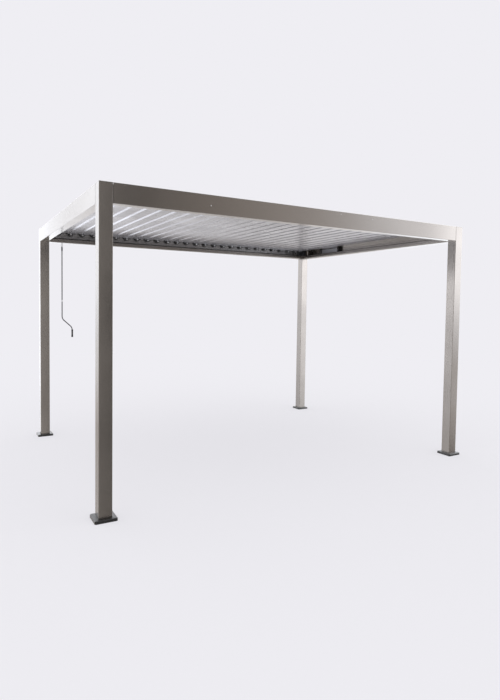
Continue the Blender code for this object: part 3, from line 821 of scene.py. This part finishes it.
@dataclass
class Beams:
    """Four gutter beams, the rails that carry the louvres' pins, and the seals on the lips."""

    wall: float = 0.0025
    bend: float = 0.0019
    toe: float = 0.010
    end_gap: float = 0.0018
    lip: float = 0.046
    lip_return: float = 0.007
    top_return: float = 0.015
    seal_width: float = 0.0052
    seal_height: float = 0.0038
    seal_shift: float = 0.0004
    seal_round: float = 0.8
    seal_rows: int = 9
    rail: float = 0.003
    rail_bend: float = 0.0022
    bush: float = 0.0084
    bush_hole: float = 0.0043
    bush_flange: float = 0.0016
    bush_edge: float = 0.0006
    first_screw: float = 0.12
    screw_step: float = 0.47
    front_screws: Pairs = ((-1.090, 2.461), (0.270, 2.525), (0.669, 2.513))

    def build(self) -> None:
        """Make every beam with its seal, both rails and the screws on the front."""
        for name, facing, axis in (("front", -1, Axis.X), ("back", 1, Axis.X), ("left", -1, Axis.Y),
                                   ("right", 1, Axis.Y)):
            self.beam(name, facing, axis)
        for name, facing in (("front", -1), ("back", 1)):
            self.pivot_rail(name, facing)
        face = span("beam_front")[0][1]
        screws = [Fastener().shell(np.array([along, face, up]), Axis.Y, -1) for along, up in self.front_screws]
        add_piece("beam_screws_front", screws, ZINC, "frame")

    def section(self, outer: float, inner: float, bottom: float, top: float) -> np.ndarray:
        """The folded section of a gutter: top edge, wall, floor, lip and the lip's edge.

        Args:
            outer: Place of the wall's outer face.
            inner: Place of the lip's inner face.
            bottom: Level of the underside.
            top: Level of the top edge.

        Returns:
            Points (n, 2).
        """
        half, way = self.wall / 2, math.copysign(1, outer)
        face, lip, rim = outer - way * half, inner + way * half, bottom + self.lip - half
        line = [(outer - way * self.top_return, top - half), (face, top - half), (face, bottom + half),
                (lip, bottom + half), (lip, rim), (inner + way * self.lip_return, rim)]
        return folded(line, self.wall, [self.bend, self.bend, self.toe, self.bend])

    def beam(self, name: str, facing: int, axis: Axis) -> None:
        """One beam with its lip's rubber seal.

        Args:
            name: The beam's side.
            facing: 1 where its outer wall faces along the cross axis, -1 where it faces against it.
            axis: The beam's own direction.
        """
        low, high = span("beam_" + name)
        side = 1 - axis.value
        outer, inner = (high[side], low[side]) if facing > 0 else (low[side], high[side])
        start, end = low[axis.value] + self.end_gap, high[axis.value] - self.end_gap
        section = self.section(outer, inner, low[2], high[2])
        add_piece("gutter_" + name, [prism(section, axis, start, end)], COAT, "frame", axis, ("beam_" + name,))
        lip_top = low[2] + self.lip
        middle = inner + facing * (self.lip_return / 2 + self.seal_shift)
        turn = np.linspace(0, math.pi, self.seal_rows)
        bulb = np.stack([middle + self.seal_width / 2 * np.cos(turn),
                         lip_top + self.seal_height * np.sin(turn) ** self.seal_round], axis=-1)
        reach = span("corner_connector_back_right")[0][axis.value] - SEAT
        add_piece("seal_" + name, [prism(bulb, axis, -reach, reach)], SEAL, "frame", axis)

    def pivot_rail(self, name: str, facing: int) -> None:
        """One rail, its bushes and the screws along its top flange.

        Args:
            name: The rail's side.
            facing: 1 at the back and -1 at the front.
        """
        low, high = span("pivot_rail_" + name)
        near, far = (low[1], high[1]) if facing > 0 else (high[1], low[1])
        thick = self.rail
        half = thick / 2
        section = folded([(near + facing * half, low[2]), (near + facing * half, high[2] - half),
                          (far, high[2] - half)], thick, self.rail_bend)
        add_piece("rail_" + name, [prism(section, Axis.X, low[0], high[0])], RAIL, "frame", Axis.X,
                  ("pivot_rail_" + name,))
        pivots = np.array([joint_place(body + "_turn") for body in BLADES])
        proud, edge = self.bush_flange, self.bush_edge
        profile = [
            (self.bush_hole, -proud), (self.bush - edge, -proud), (self.bush, edge - proud), (self.bush, thick / 2),
            (self.bush, thick + proud - edge), (self.bush - edge, thick + proud), (self.bush_hole, thick + proud),
        ]
        bush = turned(np.asarray(profile) * (1, facing), np.array([0, near, 0]), Axis.Y, sides=16)
        add_piece("bushes_" + name, [bush.copies(pivots * (1, 0, 1))], MOULDING, "frame", Axis.Y)
        places = np.arange(low[0] + self.first_screw, high[0] - self.first_screw, self.screw_step)
        seat = np.array([0, (near + far) / 2, high[2]])
        screw = Fastener().shell(seat, Axis.Z, 1)
        add_piece("rail_screws_" + name, [screw.copies(places[:, None] * (1, 0, 0))], ZINC, "frame")


@dataclass
class Louvres:
    """The row of blades, each with two end caps and its pins, and the link bar that ties them."""

    pitch: float = 0.1425
    left: float = 0.059
    right: float = 0.056
    under: float = 0.010
    thick: float = 0.021
    fall: float = 0.002
    wall: float = 0.002
    flank: Pair = (0.023, 0.017)
    cap_flank: Pair = (0.015, 0.011)
    flank_fold: float = 0.003
    slot: float = 0.009
    trough_lip: float = 0.014
    hook_drop: float = 0.013
    hook_gap: float = 0.0075
    fold: float = 0.0015
    tight_fold: float = 0.0008
    blade_half: float = 1.4045
    cap_near: float = 1.4025
    cap_thick: float = 0.004
    cap_edge: float = 0.0005
    cap_corner: float = 0.0012
    proud: float = 0.0008
    lug: Pair = (-0.036, 0.022)
    lug_drop: float = 0.020
    lug_slope: float = 0.009
    lug_fold: float = 0.004
    pin: float = 0.004
    pin_end: float = 1.438
    link_pin_end: float = 1.4165
    groove: float = 0.0006
    pin_tip: Pairs = ((0, 5), (1, 4.6), (1, 3.4), (0, 3), (0, 1), (1, 0))
    head: float = 0.0072
    head_rim: float = 0.0012
    head_dome: float = 0.0026
    head_rows: int = 5
    pin_sides: int = 16
    arm: float = 0.027
    bar_edge: float = 0.0006

    def build(self) -> None:
        """Make every louvre, then the link bar."""
        blade, caps, pins = self.blade(), self.caps(), self.pins()
        for body in BLADES:
            place = joint_place(body + "_turn")
            add_piece(body + "_blade", [blade.moved(place)], SLAT, body, Axis.Y, (body,))
            add_piece(body + "_end_caps", [shell.moved(place) for shell in caps], MOULDING, body, Axis.Y)
            add_piece(body + "_pins", [shell.moved(place) for shell in pins], PIN, body, Axis.Y)
        self.link_bar()

    def blade(self) -> Shell:
        """The blade's section, in a view from the front with the pivot at zero, drawn out along its length.

        Returns:
            The closed shell.
        """
        under, wall, left, right = self.under, self.wall, -self.left, self.right
        top_left, top_right = under + self.thick + self.fall, under + self.thick
        edge = self.pitch - self.left - self.slot
        tip = self.pitch - edge + wall + self.hook_gap
        ceiling = top_left - wall
        corners = [
            (left + self.flank[0], under), (edge, under), (edge, under + self.trough_lip),
            (edge - wall, under + self.trough_lip), (edge - wall, under + wall), (right, under + wall),
            (right, top_right), (-tip - wall, top_left), (-tip - wall, ceiling - self.hook_drop),
            (-tip, ceiling - self.hook_drop), (-tip, ceiling), (left, ceiling), (left, under + self.flank[1]),
        ]
        soft, tight = self.fold, self.tight_fold
        radii = [self.flank_fold, soft, *[tight] * 4, soft, soft, *[tight] * 4, self.flank_fold]
        return prism(rounded(corners, radii, lead=FINE_LEAD), Axis.Y, -self.blade_half, self.blade_half)

    def caps(self) -> list[Shell]:
        """Both moulded end caps, with a lug below that carries the pivot pin.

        Returns:
            Two closed shells.
        """
        under, top = self.under - self.proud, self.under + self.thick + self.proud
        left, right = -self.left - self.proud, self.right + self.proud
        first, last = self.lug
        slope, drop, bend, corner = self.lug_slope, self.lug_drop, self.lug_fold, self.cap_corner
        outline = rounded([
            (left + self.cap_flank[0], under), (first, under), (first + slope, slope - drop),
            (first + 2 * slope, -drop), (last - slope, -drop), (last, slope - drop), (last, under),
            (right, under), (right, top), (left, top), (left, under + self.cap_flank[1]),
        ], [corner, *[bend] * 5, *[corner] * 4, self.flank_fold], steps=4, lead=FINE_LEAD)
        near, far, edge = self.cap_near, self.cap_near + self.cap_thick, self.cap_edge
        return [prism(outline, Axis.Y, side * near, side * far, side * edge, steps=2) for side in (-1, 1)]

    def pins(self) -> list[Shell]:
        """The pivot pins with their domed heads, and the link pin at the back.

        The tip of a pivot pin has a groove. Its rows are depth and distance from the end, as multiples of the
        groove's depth.

        Returns:
            Three closed shells.
        """
        near, far, pin, cut = self.cap_near, self.cap_near + self.cap_thick, self.pin, self.groove
        dome = np.linspace(0, math.pi / 2, self.head_rows)
        head = np.stack([np.maximum(self.head * np.sin(dome), FINE_LEAD),
                         near - self.head_rim - self.head_dome * np.cos(dome)], axis=-1)
        end = self.pin_end
        tip = [(pin - depth * cut, end - back * cut) for depth, back in self.pin_tip]
        profile = np.vstack([head, [(self.head, near), (pin, near + FINE_LEAD)], tip])
        shells = [turned(profile * (1, side), np.zeros(3), Axis.Y, self.pin_sides) for side in (-1, 1)]
        end = self.link_pin_end
        link = np.array([(pin, far - OVERLAP), (pin, end - cut), (pin - cut, end)])
        shells.append(turned(link, np.array([-self.arm, 0, self.arm]), Axis.Y, self.pin_sides))
        return shells

    def link_bar(self) -> None:
        """The flat link bar with rounded ends, on all the link pins."""
        low, high = span("link_bar")
        radius = (high[2] - low[2]) / 2 - FINE_LEAD
        bar = block(low, high, radius, self.bar_edge, Axis.Y)
        add_piece("link_strap", [bar], ZINC, "link_bar", Axis.X, ("link_bar",))


@dataclass
class Drive:
    """The gearbox in the back gutter, its eye, and the crank that hangs in it."""

    sides: int = 24
    housing_rim: float = 0.0012
    housing_corner: float = 0.005
    housing_edge: float = 0.0025
    flange: float = 0.003
    boss: float = 0.0145
    boss_height: float = 0.008
    boss_edge: float = 0.001
    screw: float = 0.004
    screw_rise: float = 0.002
    screw_recess: float = 0.0017
    screw_inset: float = 0.013
    eye_radius: float = 0.0105
    eye_wire: float = 0.0025
    shaft: float = 0.006
    shaft_edge: float = 0.0008
    neck: Pairs = ((0.0034, -0.0018), (0.0046, -0.0010), (0.006, 0.0006), (0.006, 0.0010))
    hook_half: float = 0.0075
    hook_lead: float = 0.001
    hook_hold: float = 0.25
    hook_rows: int = 17
    sleeve: float = 0.009
    sleeve_top: float = -0.0095
    sleeve_length: float = 0.052
    sleeve_rows: int = 41
    sleeve_top_edge: Pairs = ((0.0020, 0), (0.0004, -0.0006), (0, -0.0022))
    sleeve_foot_edge: Pairs = ((0, 0.0020), (0.0005, 0.0005), (0.0020, 0))
    groove: float = 0.0007
    groove_count: int = 5
    grooved: Pair = (-0.008, -0.030)
    rod_radius: float = 0.0065
    rod_bend: float = 0.075
    rod_sides: int = 20
    rod_straight: float = 0.850
    rod_offset: float = 0.123
    rod_drop: float = 0.112
    rod_end: float = 0.122
    ferrule: float = 0.0078
    ferrule_level: float = 1.675
    ferrule_half: float = 0.011
    grip_bore: float = 0.0070
    grip_waist: float = 0.0014
    grip_rib: float = 0.0004
    grip_edge: float = 0.003
    grip_ribs: int = 9
    grip_rows: int = 61
    grip_sides: int = 28
    chamfer: Pair = (0.4, 0.2)

    def build(self) -> None:
        """Make the pieces from the top down."""
        self.gearbox()
        self.eye()
        self.hook()
        self.rod()
        self.grip()

    @property
    def hang(self) -> np.ndarray:
        """The point where the hook hangs in the ring."""
        return joint_place("crank_tilt")

    def gearbox(self) -> None:
        """A moulded housing in two halves with a flange between them, a boss for the shaft and four screws."""
        low, high = span("gearbox")
        seam = (low[1] + high[1]) / 2
        rim, corner, edge, half = self.housing_rim, self.housing_corner, self.housing_edge, self.flange
        shells = [
            block(low + (rim, 0, rim), (high[0] - rim, seam - SEAT, high[2] - rim), corner, edge, Axis.Y),
            block((low[0], seam - half, low[2] + rim), (high[0], seam + half, high[2]), corner, rim, Axis.Y),
            block((low[0] + rim, seam + SEAT, low[2] + rim), high - (rim, 0, rim), corner, edge, Axis.Y),
        ]
        eye = joint_place("crank_turn")
        boss = [(self.boss - self.boss_edge, low[2]), (self.boss, low[2] + self.boss_edge),
                (self.boss, low[2] + self.boss_height)]
        shells.append(turned(boss, np.array([eye[0], eye[1], 0]), Axis.Z, self.sides))
        add_piece("gear_housing", shells, MOULDING, "frame", Axis.X, ("gearbox",))
        head, inset = Fastener(self.screw, self.screw_rise, self.screw_recess), self.screw_inset
        screws = [
            head.shell(np.array([x, high[1] - self.screw_rise, z]), Axis.Y, 1)
            for x in (low[0] + inset, high[0] - inset) for z in (low[2] + inset, high[2] - inset)
        ]
        add_piece("gear_screws", screws, ZINC, "frame")

    def eye(self) -> None:
        """The ring on its shaft, with a neck that widens from the wire to the shaft."""
        top = span("gear_eye")[1][2]
        centre = self.hang + (0, 0, self.eye_radius)
        foot = centre[2] + self.eye_radius
        profile = [(radius, foot + rise) for radius, rise in self.neck]
        profile += [(self.shaft, top - self.shaft_edge), (self.shaft - self.shaft_edge, top)]
        shaft = turned(profile, np.array([centre[0], centre[1], 0]), Axis.Z, self.sides)
        eye = ring(centre, Axis.Y, self.eye_radius, self.eye_wire)
        add_piece("eye_ring", [eye, shaft], ZINC, "gear_eye", Axis.Z, ("gear_eye",))

    def hook(self) -> None:
        """The wire hook, and the grooved sleeve that holds both its legs.

        The wire goes up one leg, over a half circle and down the other leg. The sleeve's radius is less by the
        positive part of a sine, which makes the grooves.
        """
        rise, half = 2 * self.eye_wire + SEAT, self.hook_half
        foot, neck = self.sleeve_top - self.sleeve_length * self.hook_hold, rise - half - self.hook_lead
        turn = np.linspace(0, math.pi, self.hook_rows)
        arc = half * np.stack([0 * turn, np.cos(turn), np.sin(turn) - 1], axis=-1)
        path = np.vstack([(0, half, foot), (0, half, neck), arc + (0, 0, rise), (0, -half, neck), (0, -half, foot)])
        wire = rod(path + self.hang, self.eye_wire, Axis.X, sides=12)
        add_piece("hook_wire", [wire], ZINC, "crank", Axis.Z)
        top, bottom = self.sleeve_top, self.sleeve_top - self.sleeve_length
        share = np.linspace(0, 1, self.sleeve_rows)
        wave = self.sleeve - self.groove * np.clip(np.sin(share * self.groove_count * TAU), 0, 1)
        first, length = self.grooved
        profile = np.vstack([
            [(self.sleeve - inset, top + rise) for inset, rise in self.sleeve_top_edge],
            np.stack([wave, top + first + share * length], axis=-1),
            [(self.sleeve - inset, bottom + rise) for inset, rise in self.sleeve_foot_edge],
        ])
        sleeve = turned(profile, self.hang, Axis.Z, self.sides)
        add_piece("hook_sleeve", [sleeve], MOULDING, "crank", Axis.Z, ("crank_hook",))

    def rod(self) -> None:
        """The bent rod, with a bright ferrule where its two lengths meet."""
        start = self.sleeve_top - self.sleeve_length - SEAT
        bend = self.sleeve_top - self.sleeve_length - self.rod_straight
        below = bend - self.rod_drop
        end = (self.rod_offset, below - self.rod_end)
        line = rounded_line([(0, start), (0, bend), (self.rod_offset, below), end], self.rod_bend, steps=14)
        bar = rod(laid(line, 0.0, Axis.Y) + self.hang, self.rod_radius, Axis.Y, self.rod_sides)
        add_piece("crank_bar", [bar], ROD_COAT, "crank", Axis.Z, ("crank_rod",))
        half, outer, rod_edge = self.ferrule_half, self.ferrule, self.rod_radius + SEAT
        profile = [(rod_edge, -half), (outer, OVERLAP - half), (outer, half - OVERLAP), (rod_edge, half)]
        centre = np.array([self.hang[0], self.hang[1], self.ferrule_level])
        add_piece("crank_ferrule", [turned(profile, centre, Axis.Z, self.sides)], ZINC, "crank", Axis.Z)

    def grip(self) -> None:
        """The turning grip, with ribs round it, a slight waist and rounded ends.

        Its radius is less by a half wave of a sine, the waist, and by 1 + a cosine, the ribs.
        """
        low, high = span("crank_grip")
        centre = np.array([(low[0] + high[0]) / 2, (low[1] + high[1]) / 2, low[2]])
        length, radius = high[2] - low[2], (high[0] - low[0]) / 2
        share = np.linspace(0, 1, self.grip_rows)
        bore, edge = self.grip_bore, self.grip_edge
        inset, rise = (part * edge for part in self.chamfer)
        ribs = self.grip_rib * (1 + np.cos(share * self.grip_ribs * TAU))
        belly = radius - self.grip_waist * np.sin(share * math.pi) - ribs
        profile = np.vstack([
            (bore, 0.0), (radius - edge, 0.0), (radius - inset, rise),
            np.stack([belly, edge + share * (length - 2 * edge)], axis=-1),
            (radius - inset, length - rise), (radius - edge, length), (bore, length),
        ])
        sleeve = turned(profile, centre, Axis.Z, self.grip_sides)
        add_piece("grip_sleeve", [sleeve], MOULDING, "crank_grip", Axis.Z, ("crank_grip",))


@dataclass
class Fittings:
    """Flashing strips, the brackets under them and the corner connectors."""

    sheet: float = 0.002
    fold: float = 0.0016
    strip_lip: float = 0.014
    strip_body: float = 0.021
    strip_rise: float = 0.005
    hook_end: float = 0.020
    clip: float = 0.036
    clip_corner: float = 0.003
    clip_edge: float = 0.0025
    channel_depth: float = 0.028
    channel_step: float = 0.005
    connector_thick: float = 0.022
    tab: float = 0.018
    lip: float = Beams.lip
    connector_fold: float = 0.002
    connector_edge: float = 0.0012

    def build(self) -> None:
        """Make all the fittings."""
        self.strips()
        self.brackets()
        self.connectors()

    def strips(self) -> None:
        """The left strip ends in a trough, and the right one in a hook."""
        half = self.sheet / 2
        low, high = span("side_strip_left")
        under = low[2] + half
        left = [(low[0] + half, high[2]), (low[0] + half, under), (high[0] - half, under),
                (high[0] - half, low[2] + self.strip_lip)]
        low_right, high_right = span("side_strip_right")
        body, top = low_right[0] + self.strip_body + half, high_right[2] - self.strip_rise - half
        right = [
            (high_right[0] - half, high_right[2]), (high_right[0] - half, under), (body, under), (body, top),
            (low_right[0] + half, top), (low_right[0] + half, high_right[2] - self.hook_end),
        ]
        for name, line in (("left", left), ("right", right)):
            strip = prism(folded(line, self.sheet, self.fold), Axis.Y, low[1], high[1])
            add_piece("flashing_" + name, [strip], COAT, "frame", Axis.Y, ("side_strip_" + name,))

    def brackets(self) -> None:
        """On each side beam, a folded metal channel with a moulded block and its screw on either end."""
        half = self.sheet / 2
        for name, way in (("left", -1), ("right", 1)):
            low, high = span("side_bracket_" + name)
            wall, front = (high[0], low[0]) if way > 0 else (low[0], high[0])
            middle = (low[2] + high[2]) / 2
            clips, screws = [], []
            for along in (low[1], high[1] - self.clip):
                clips.append(block((low[0], along, low[2]), (high[0], along + self.clip, high[2]), self.clip_corner,
                                   self.clip_edge, Axis.X))
                seat = np.array([front, along + self.clip / 2, middle])
                screws.append(Fastener().shell(seat, Axis.X, -way))
            face = wall - way * (self.channel_depth - half)
            bottom, top = low[2] + self.channel_step + half, high[2] - self.channel_step - half
            section = folded([(wall, bottom), (face, bottom), (face, top), (wall, top)], self.sheet, self.fold)
            start, end = low[1] + self.clip / 2, high[1] - self.clip / 2
            add_piece("bracket_clips_" + name, clips, MOULDING, "frame", Axis.X, ("side_bracket_" + name,))
            channel = prism(section, Axis.Y, start, end)
            # The channel's finish is the slat grey darkened with painted shade.
            add_piece("bracket_channel_" + name, [channel], SHADED_CHANNEL, "frame", Axis.Y)
            add_piece("bracket_screws_" + name, screws, ZINC, "frame", Axis.X)

    def connectors(self) -> None:
        """Blocks that wrap the posts' inner corners above the lips, each with a tab down between the lips' ends.

        Both outlines are laid out for the back right corner and turned over for the others.
        """
        low, high = span("corner_connector_back_right")
        post = span("post_cap_back_right")[0][:2] - SEAT
        lips = np.array([span("beam_right")[0][0], span("beam_back")[0][1]])
        left, tab, seam = post[0] - self.connector_thick, post - self.tab, span("beam_back")[0][2] + self.lip + SEAT
        block_line = np.array([
            (low[0], high[1]), (low[0], lips[1] + SEAT), (left, lips[1] + SEAT), (left, low[1]),
            (high[0], low[1]), (high[0], post[1]), tuple(post), (post[0], high[1]),
        ])
        inner = lips - SEAT
        tab_line = np.array([
            (tab[0], inner[1]), tuple(tab), (inner[0], tab[1]), (inner[0], post[1]), tuple(post),
            (post[0], inner[1]),
        ])
        for name, sides in CORNERS.items():
            body, tab_piece = (
                prism(rounded(line * sides, self.connector_fold, steps=4, lead=FINE_LEAD), Axis.Z, bottom, top,
                      self.connector_edge)
                for line, bottom, top in ((block_line, seam, high[2]), (tab_line, low[2], (seam + high[2]) / 2))
            )
            add_piece("connector_" + name, [body], MOULDING, "frame", Axis.Z, ("corner_connector_" + name,))
            add_piece("connector_tab_" + name, [tab_piece], COAT, "frame", Axis.Z)


@dataclass(frozen=True)
class Viewpoint:
    """The photograph's camera, as fitted to the corners of the posts and beams. Picture values are in pixels."""

    place: Triple = (-2.9478, -5.3912, 1.6519)
    yaw: float = 29.6327
    pitch: float = -2.5926
    roll: float = 0.8042
    focal: float = 520.47
    centre: Pair = (247.21, 328.82)
    picture: tuple[int, int] = (500, 700)
    sensor: float = 36.0
    sight: float = 200.0

    def build(self) -> None:
        """Make the camera and make it the scene's."""
        yaw, pitch, roll = (math.radians(angle) for angle in (self.yaw, self.pitch, self.roll))
        forward = Vector((math.sin(yaw) * math.cos(pitch), math.cos(yaw) * math.cos(pitch), math.sin(pitch)))
        level = Vector((math.cos(yaw), -math.sin(yaw), 0))
        upright = level.cross(forward)
        right = level * math.cos(roll) + upright * math.sin(roll)
        up = upright * math.cos(roll) - level * math.sin(roll)
        lens = bpy.data.cameras.new("camera")
        long_side = max(self.picture)
        lens.sensor_width = self.sensor
        lens.lens = self.focal * self.sensor / long_side
        lens.shift_x = (self.picture[0] / 2 - self.centre[0]) / long_side
        lens.shift_y = (self.centre[1] - self.picture[1] / 2) / long_side
        lens.clip_end = self.sight
        camera = bpy.data.objects.new("camera", lens)
        camera.matrix_world = Matrix.Translation(self.place) @ Matrix((right, up, -forward)).transposed().to_4x4()
        bpy.context.scene.collection.objects.link(camera)
        bpy.context.scene.camera = camera


def stage_panel(name: str, corners: list, material: bpy.types.Material, unseen: tuple[str, ...]) -> None:
    """Put a flat panel with one face into the set.

    Args:
        name: The panel's name.
        corners: Its four corners.
        material: Its material.
        unseen: The kinds of ray that it is hidden from.
    """
    mesh = bpy.data.meshes.new(name)
    mesh.from_pydata(corners, [], [(0, 1, 2, 3)])
    mesh.materials.append(material)
    panel = bpy.data.objects.new(name, mesh)
    for kind in unseen:
        setattr(panel, "visible_" + kind, False)
    bpy.context.scene.collection.objects.link(panel)


@dataclass(frozen=True)
class Wall:
    """A glowing panel that only reflections see, to one side of the object.

    Each stop is a place along the panel with the glow there above eye level, at knee level and well below the
    floor. Between the levels, and between the stops, the glow changes smoothly. Its colour goes from the dim tint
    to the panel's own tint as the glow goes over the dim range.
    """

    name: str
    side: Axis
    place: float
    stops: tuple[tuple[float, ...], ...]
    tint: Triple = (1.0, 1.0, 1.0)
    peak: float = 4.0
    dim_range: Pair = (0.2, 1.6)
    high: Pair = (0.5, 2.6)
    low: Pair = (-1.6, 0.2)
    bottom: float = -14.0
    top: float = 9.0
    unseen: tuple[str, ...] = ("camera", "diffuse", "transmission", "volume_scatter", "shadow")

    def build(self, dim: Triple) -> None:
        """Make the panel.

        Args:
            dim: The colour of its dim parts.
        """
        along = 1 - self.side.value
        first, last = self.stops[0][0], self.stops[-1][0]
        corners = laid(np.array(rectangle((first, self.bottom), (last, self.top))), self.place, self.side)
        material, graph = new_material(self.name)
        material.cycles.emission_sampling = "NONE"
        parts = graph.node("ShaderNodeSeparateXYZ", {0: graph.node("ShaderNodeTexCoord").outputs["Object"]}).outputs
        share = graph.maths("DIVIDE", graph.maths("SUBTRACT", parts[along], first), last - first)
        ramp = graph.node("ShaderNodeValToRGB", {0: share})
        ramp.color_ramp.interpolation = "EASE"
        elements = ramp.color_ramp.elements
        # New elements get their places and colours in the loop below.
        while len(elements) < len(self.stops):
            elements.new(0.5)
        for element, (place, *glow) in zip(elements, self.stops):
            element.position = (place - first) / (last - first)
            element.color = (*(value / self.peak for value in glow), 1)
        bands = graph.node("ShaderNodeSeparateColor", {0: ramp.outputs["Color"]}).outputs
        middle = self.between(graph, graph.smooth(parts[2], *self.low), bands[2], bands[1])
        glow = self.between(graph, graph.smooth(parts[2], *self.high), middle, bands[0])
        strength = graph.maths("MULTIPLY", glow, self.peak)
        colour = graph.tint(graph.smooth(strength, *self.dim_range), dim, self.tint)
        shine = graph.node("ShaderNodeEmission", {"Color": colour, "Strength": strength})
        graph.node("ShaderNodeOutputMaterial", {"Surface": shine.outputs[0]})
        stage_panel(self.name, corners.tolist(), material, self.unseen)

    @staticmethod
    def between(graph: Graph, share: Socket, first: Socket, second: Socket) -> Socket:
        """The number between two others, by a share. The sockets go by number here too."""
        return graph.node("ShaderNodeMix", {0: share, 2: first, 3: second}, data_type="FLOAT").outputs[0]


@dataclass(frozen=True)
class Studio:
    """A pale set with even light. Glossy surfaces see glowing walls, bright on the right and dim at the front."""

    backdrop: Triple = (0.863, 0.855, 0.896)
    level: float = 1.0
    dim_tint: Triple = (1.0, 0.90, 0.82)
    walls: tuple[Wall, ...] = (
        Wall("wall_right", Axis.X, 5.0, (
            (-12.0, 0.56, 0.52, 0.45), (-9.8, 0.72, 0.66, 0.55), (-8.2, 0.80, 0.75, 0.60),
            (-6.9, 1.12, 0.95, 0.70), (-6.1, 1.50, 1.15, 0.80), (-5.35, 2.00, 1.40, 0.80),
            (-4.6, 1.75, 0.95, 0.15), (-3.9, 3.90, 0.92, 0.05), (-2.8, 3.70, 2.85, 1.85), (-1.0, 2.40, 1.90, 1.30),
            (1.5, 1.50, 1.30, 0.70), (4.0, 1.00, 1.00, 0.40), (6.0, 0.90, 0.90, 0.30),
        ), tint=(0.98, 1.0, 1.045)),
        Wall("wall_back", Axis.Y, 6.0, (
            (-5.0, 0.95, 0.90, 0.52), (-3.8, 2.15, 1.15, 0.47), (-3.45, 1.05, 1.02, 0.74), (-2.9, 1.40, 1.50, 1.20),
            (-1.85, 2.60, 2.50, 1.70), (-1.5, 2.10, 1.50, 1.40), (-1.2, 1.80, 1.35, 1.20), (-0.8, 1.40, 1.00, 0.75),
            (0.0, 1.40, 0.90, 0.30), (0.8, 1.55, 0.65, 0.03), (1.8, 1.78, 0.50, 0.02), (3.4, 1.78, 0.50, 0.02),
            (5.0, 1.52, 0.60, 0.06),
        ), tint=(0.98, 1.0, 1.05), low=(-1.2, 0.6)),
        Wall("wall_left", Axis.X, -5.0, (
            (-12.0, 0.80, 0.75, 0.60), (-6.0, 0.55, 0.50, 0.45), (-2.0, 0.60, 0.55, 0.45), (1.0, 1.00, 0.85, 0.70),
            (4.1, 3.60, 2.20, 1.25), (6.0, 1.00, 0.90, 0.75),
        ), tint=(0.98, 1.0, 1.05)),
        Wall("wall_front", Axis.Y, -12.0, (
            (-5.0, 0.95, 0.90, 0.75), (-2.0, 0.90, 0.90, 0.80), (-0.1, 1.30, 1.30, 1.20), (0.30, 0.03, 0.02, 0.02),
            (1.5, 0.02, 0.02, 0.02), (2.5, 0.32, 0.28, 0.22), (3.6, 0.42, 0.38, 0.32), (5.0, 0.54, 0.50, 0.45),
        )),
    )
    floor_half: float = 40.0
    floor_keep: float = 0.66
    floor_fade: Pair = (4.0, 12.0)

    def build(self) -> None:
        """Make the set round the object."""
        bpy.context.scene.view_settings.view_transform = "Standard"
        self.light()
        self.floor()
        for wall in self.walls:
            wall.build(self.dim_tint)

    def light(self) -> None:
        """The world: the pale backdrop to the eye and in clear reflections, and even light on what is lit."""
        world = bpy.data.worlds.new("studio")
        bpy.context.scene.world = world
        world.use_nodes = True
        world.cycles.sampling_method = "NONE"
        graph = Graph(world.node_tree)
        seen = graph.node("ShaderNodeBackground", {"Color": (*self.backdrop, 1.0), "Strength": 1.0})
        lit = graph.node("ShaderNodeBackground", {"Color": (1.0, 1.0, 1.0, 1.0), "Strength": self.level})
        path = graph.node("ShaderNodeLightPath").outputs
        direct = graph.maths("MAXIMUM", path["Is Camera Ray"], path["Is Transmission Ray"])
        direct = graph.maths("MAXIMUM", direct, path["Is Glossy Ray"])
        mixed = graph.node("ShaderNodeMixShader", {0: direct, 1: lit.outputs[0], 2: seen.outputs[0]})
        graph.node("ShaderNodeOutputWorld", {"Surface": mixed.outputs[0]})

    def floor(self) -> None:
        """A wide pale floor that keeps the object's shadow near it and fades into the backdrop."""
        half = self.floor_half
        corners = laid(np.array(rectangle((-half, -half), (half, half))), 0.0, Axis.Z)
        material, graph = new_material("studio_floor")
        place = graph.node("ShaderNodeTexCoord").outputs["Object"]
        reach = graph.node("ShaderNodeVectorMath", {0: place}, operation="LENGTH").outputs["Value"]
        fade = graph.smooth(reach, *self.floor_fade, self.floor_keep, 1.0)
        path = graph.node("ShaderNodeLightPath").outputs
        share = graph.maths("MULTIPLY", fade, graph.maths("MAXIMUM", path["Is Camera Ray"], path["Is Glossy Ray"]))
        pale = (*self.backdrop, 1.0)
        lit = graph.node("ShaderNodeBsdfDiffuse", {"Color": pale})
        seen = graph.node("ShaderNodeEmission", {"Color": pale, "Strength": 1.0})
        mixed = graph.node("ShaderNodeMixShader", {0: share, 1: lit.outputs[0], 2: seen.outputs[0]})
        graph.node("ShaderNodeOutputMaterial", {"Surface": mixed.outputs[0]})
        stage_panel("floor", corners.tolist(), material, ("glossy",))


def main() -> None:
    """Build the camera, the set and every sub-assembly, in order."""
    logging.basicConfig(level=logging.INFO, format="%(name)s: %(message)s")
    for part in (Viewpoint(), Studio(), Posts(), Beams(), Louvres(), Drive(), Fittings()):
        LOG.info("building %s", type(part).__name__)
        part.build()


if __name__ == "__main__":
    main()
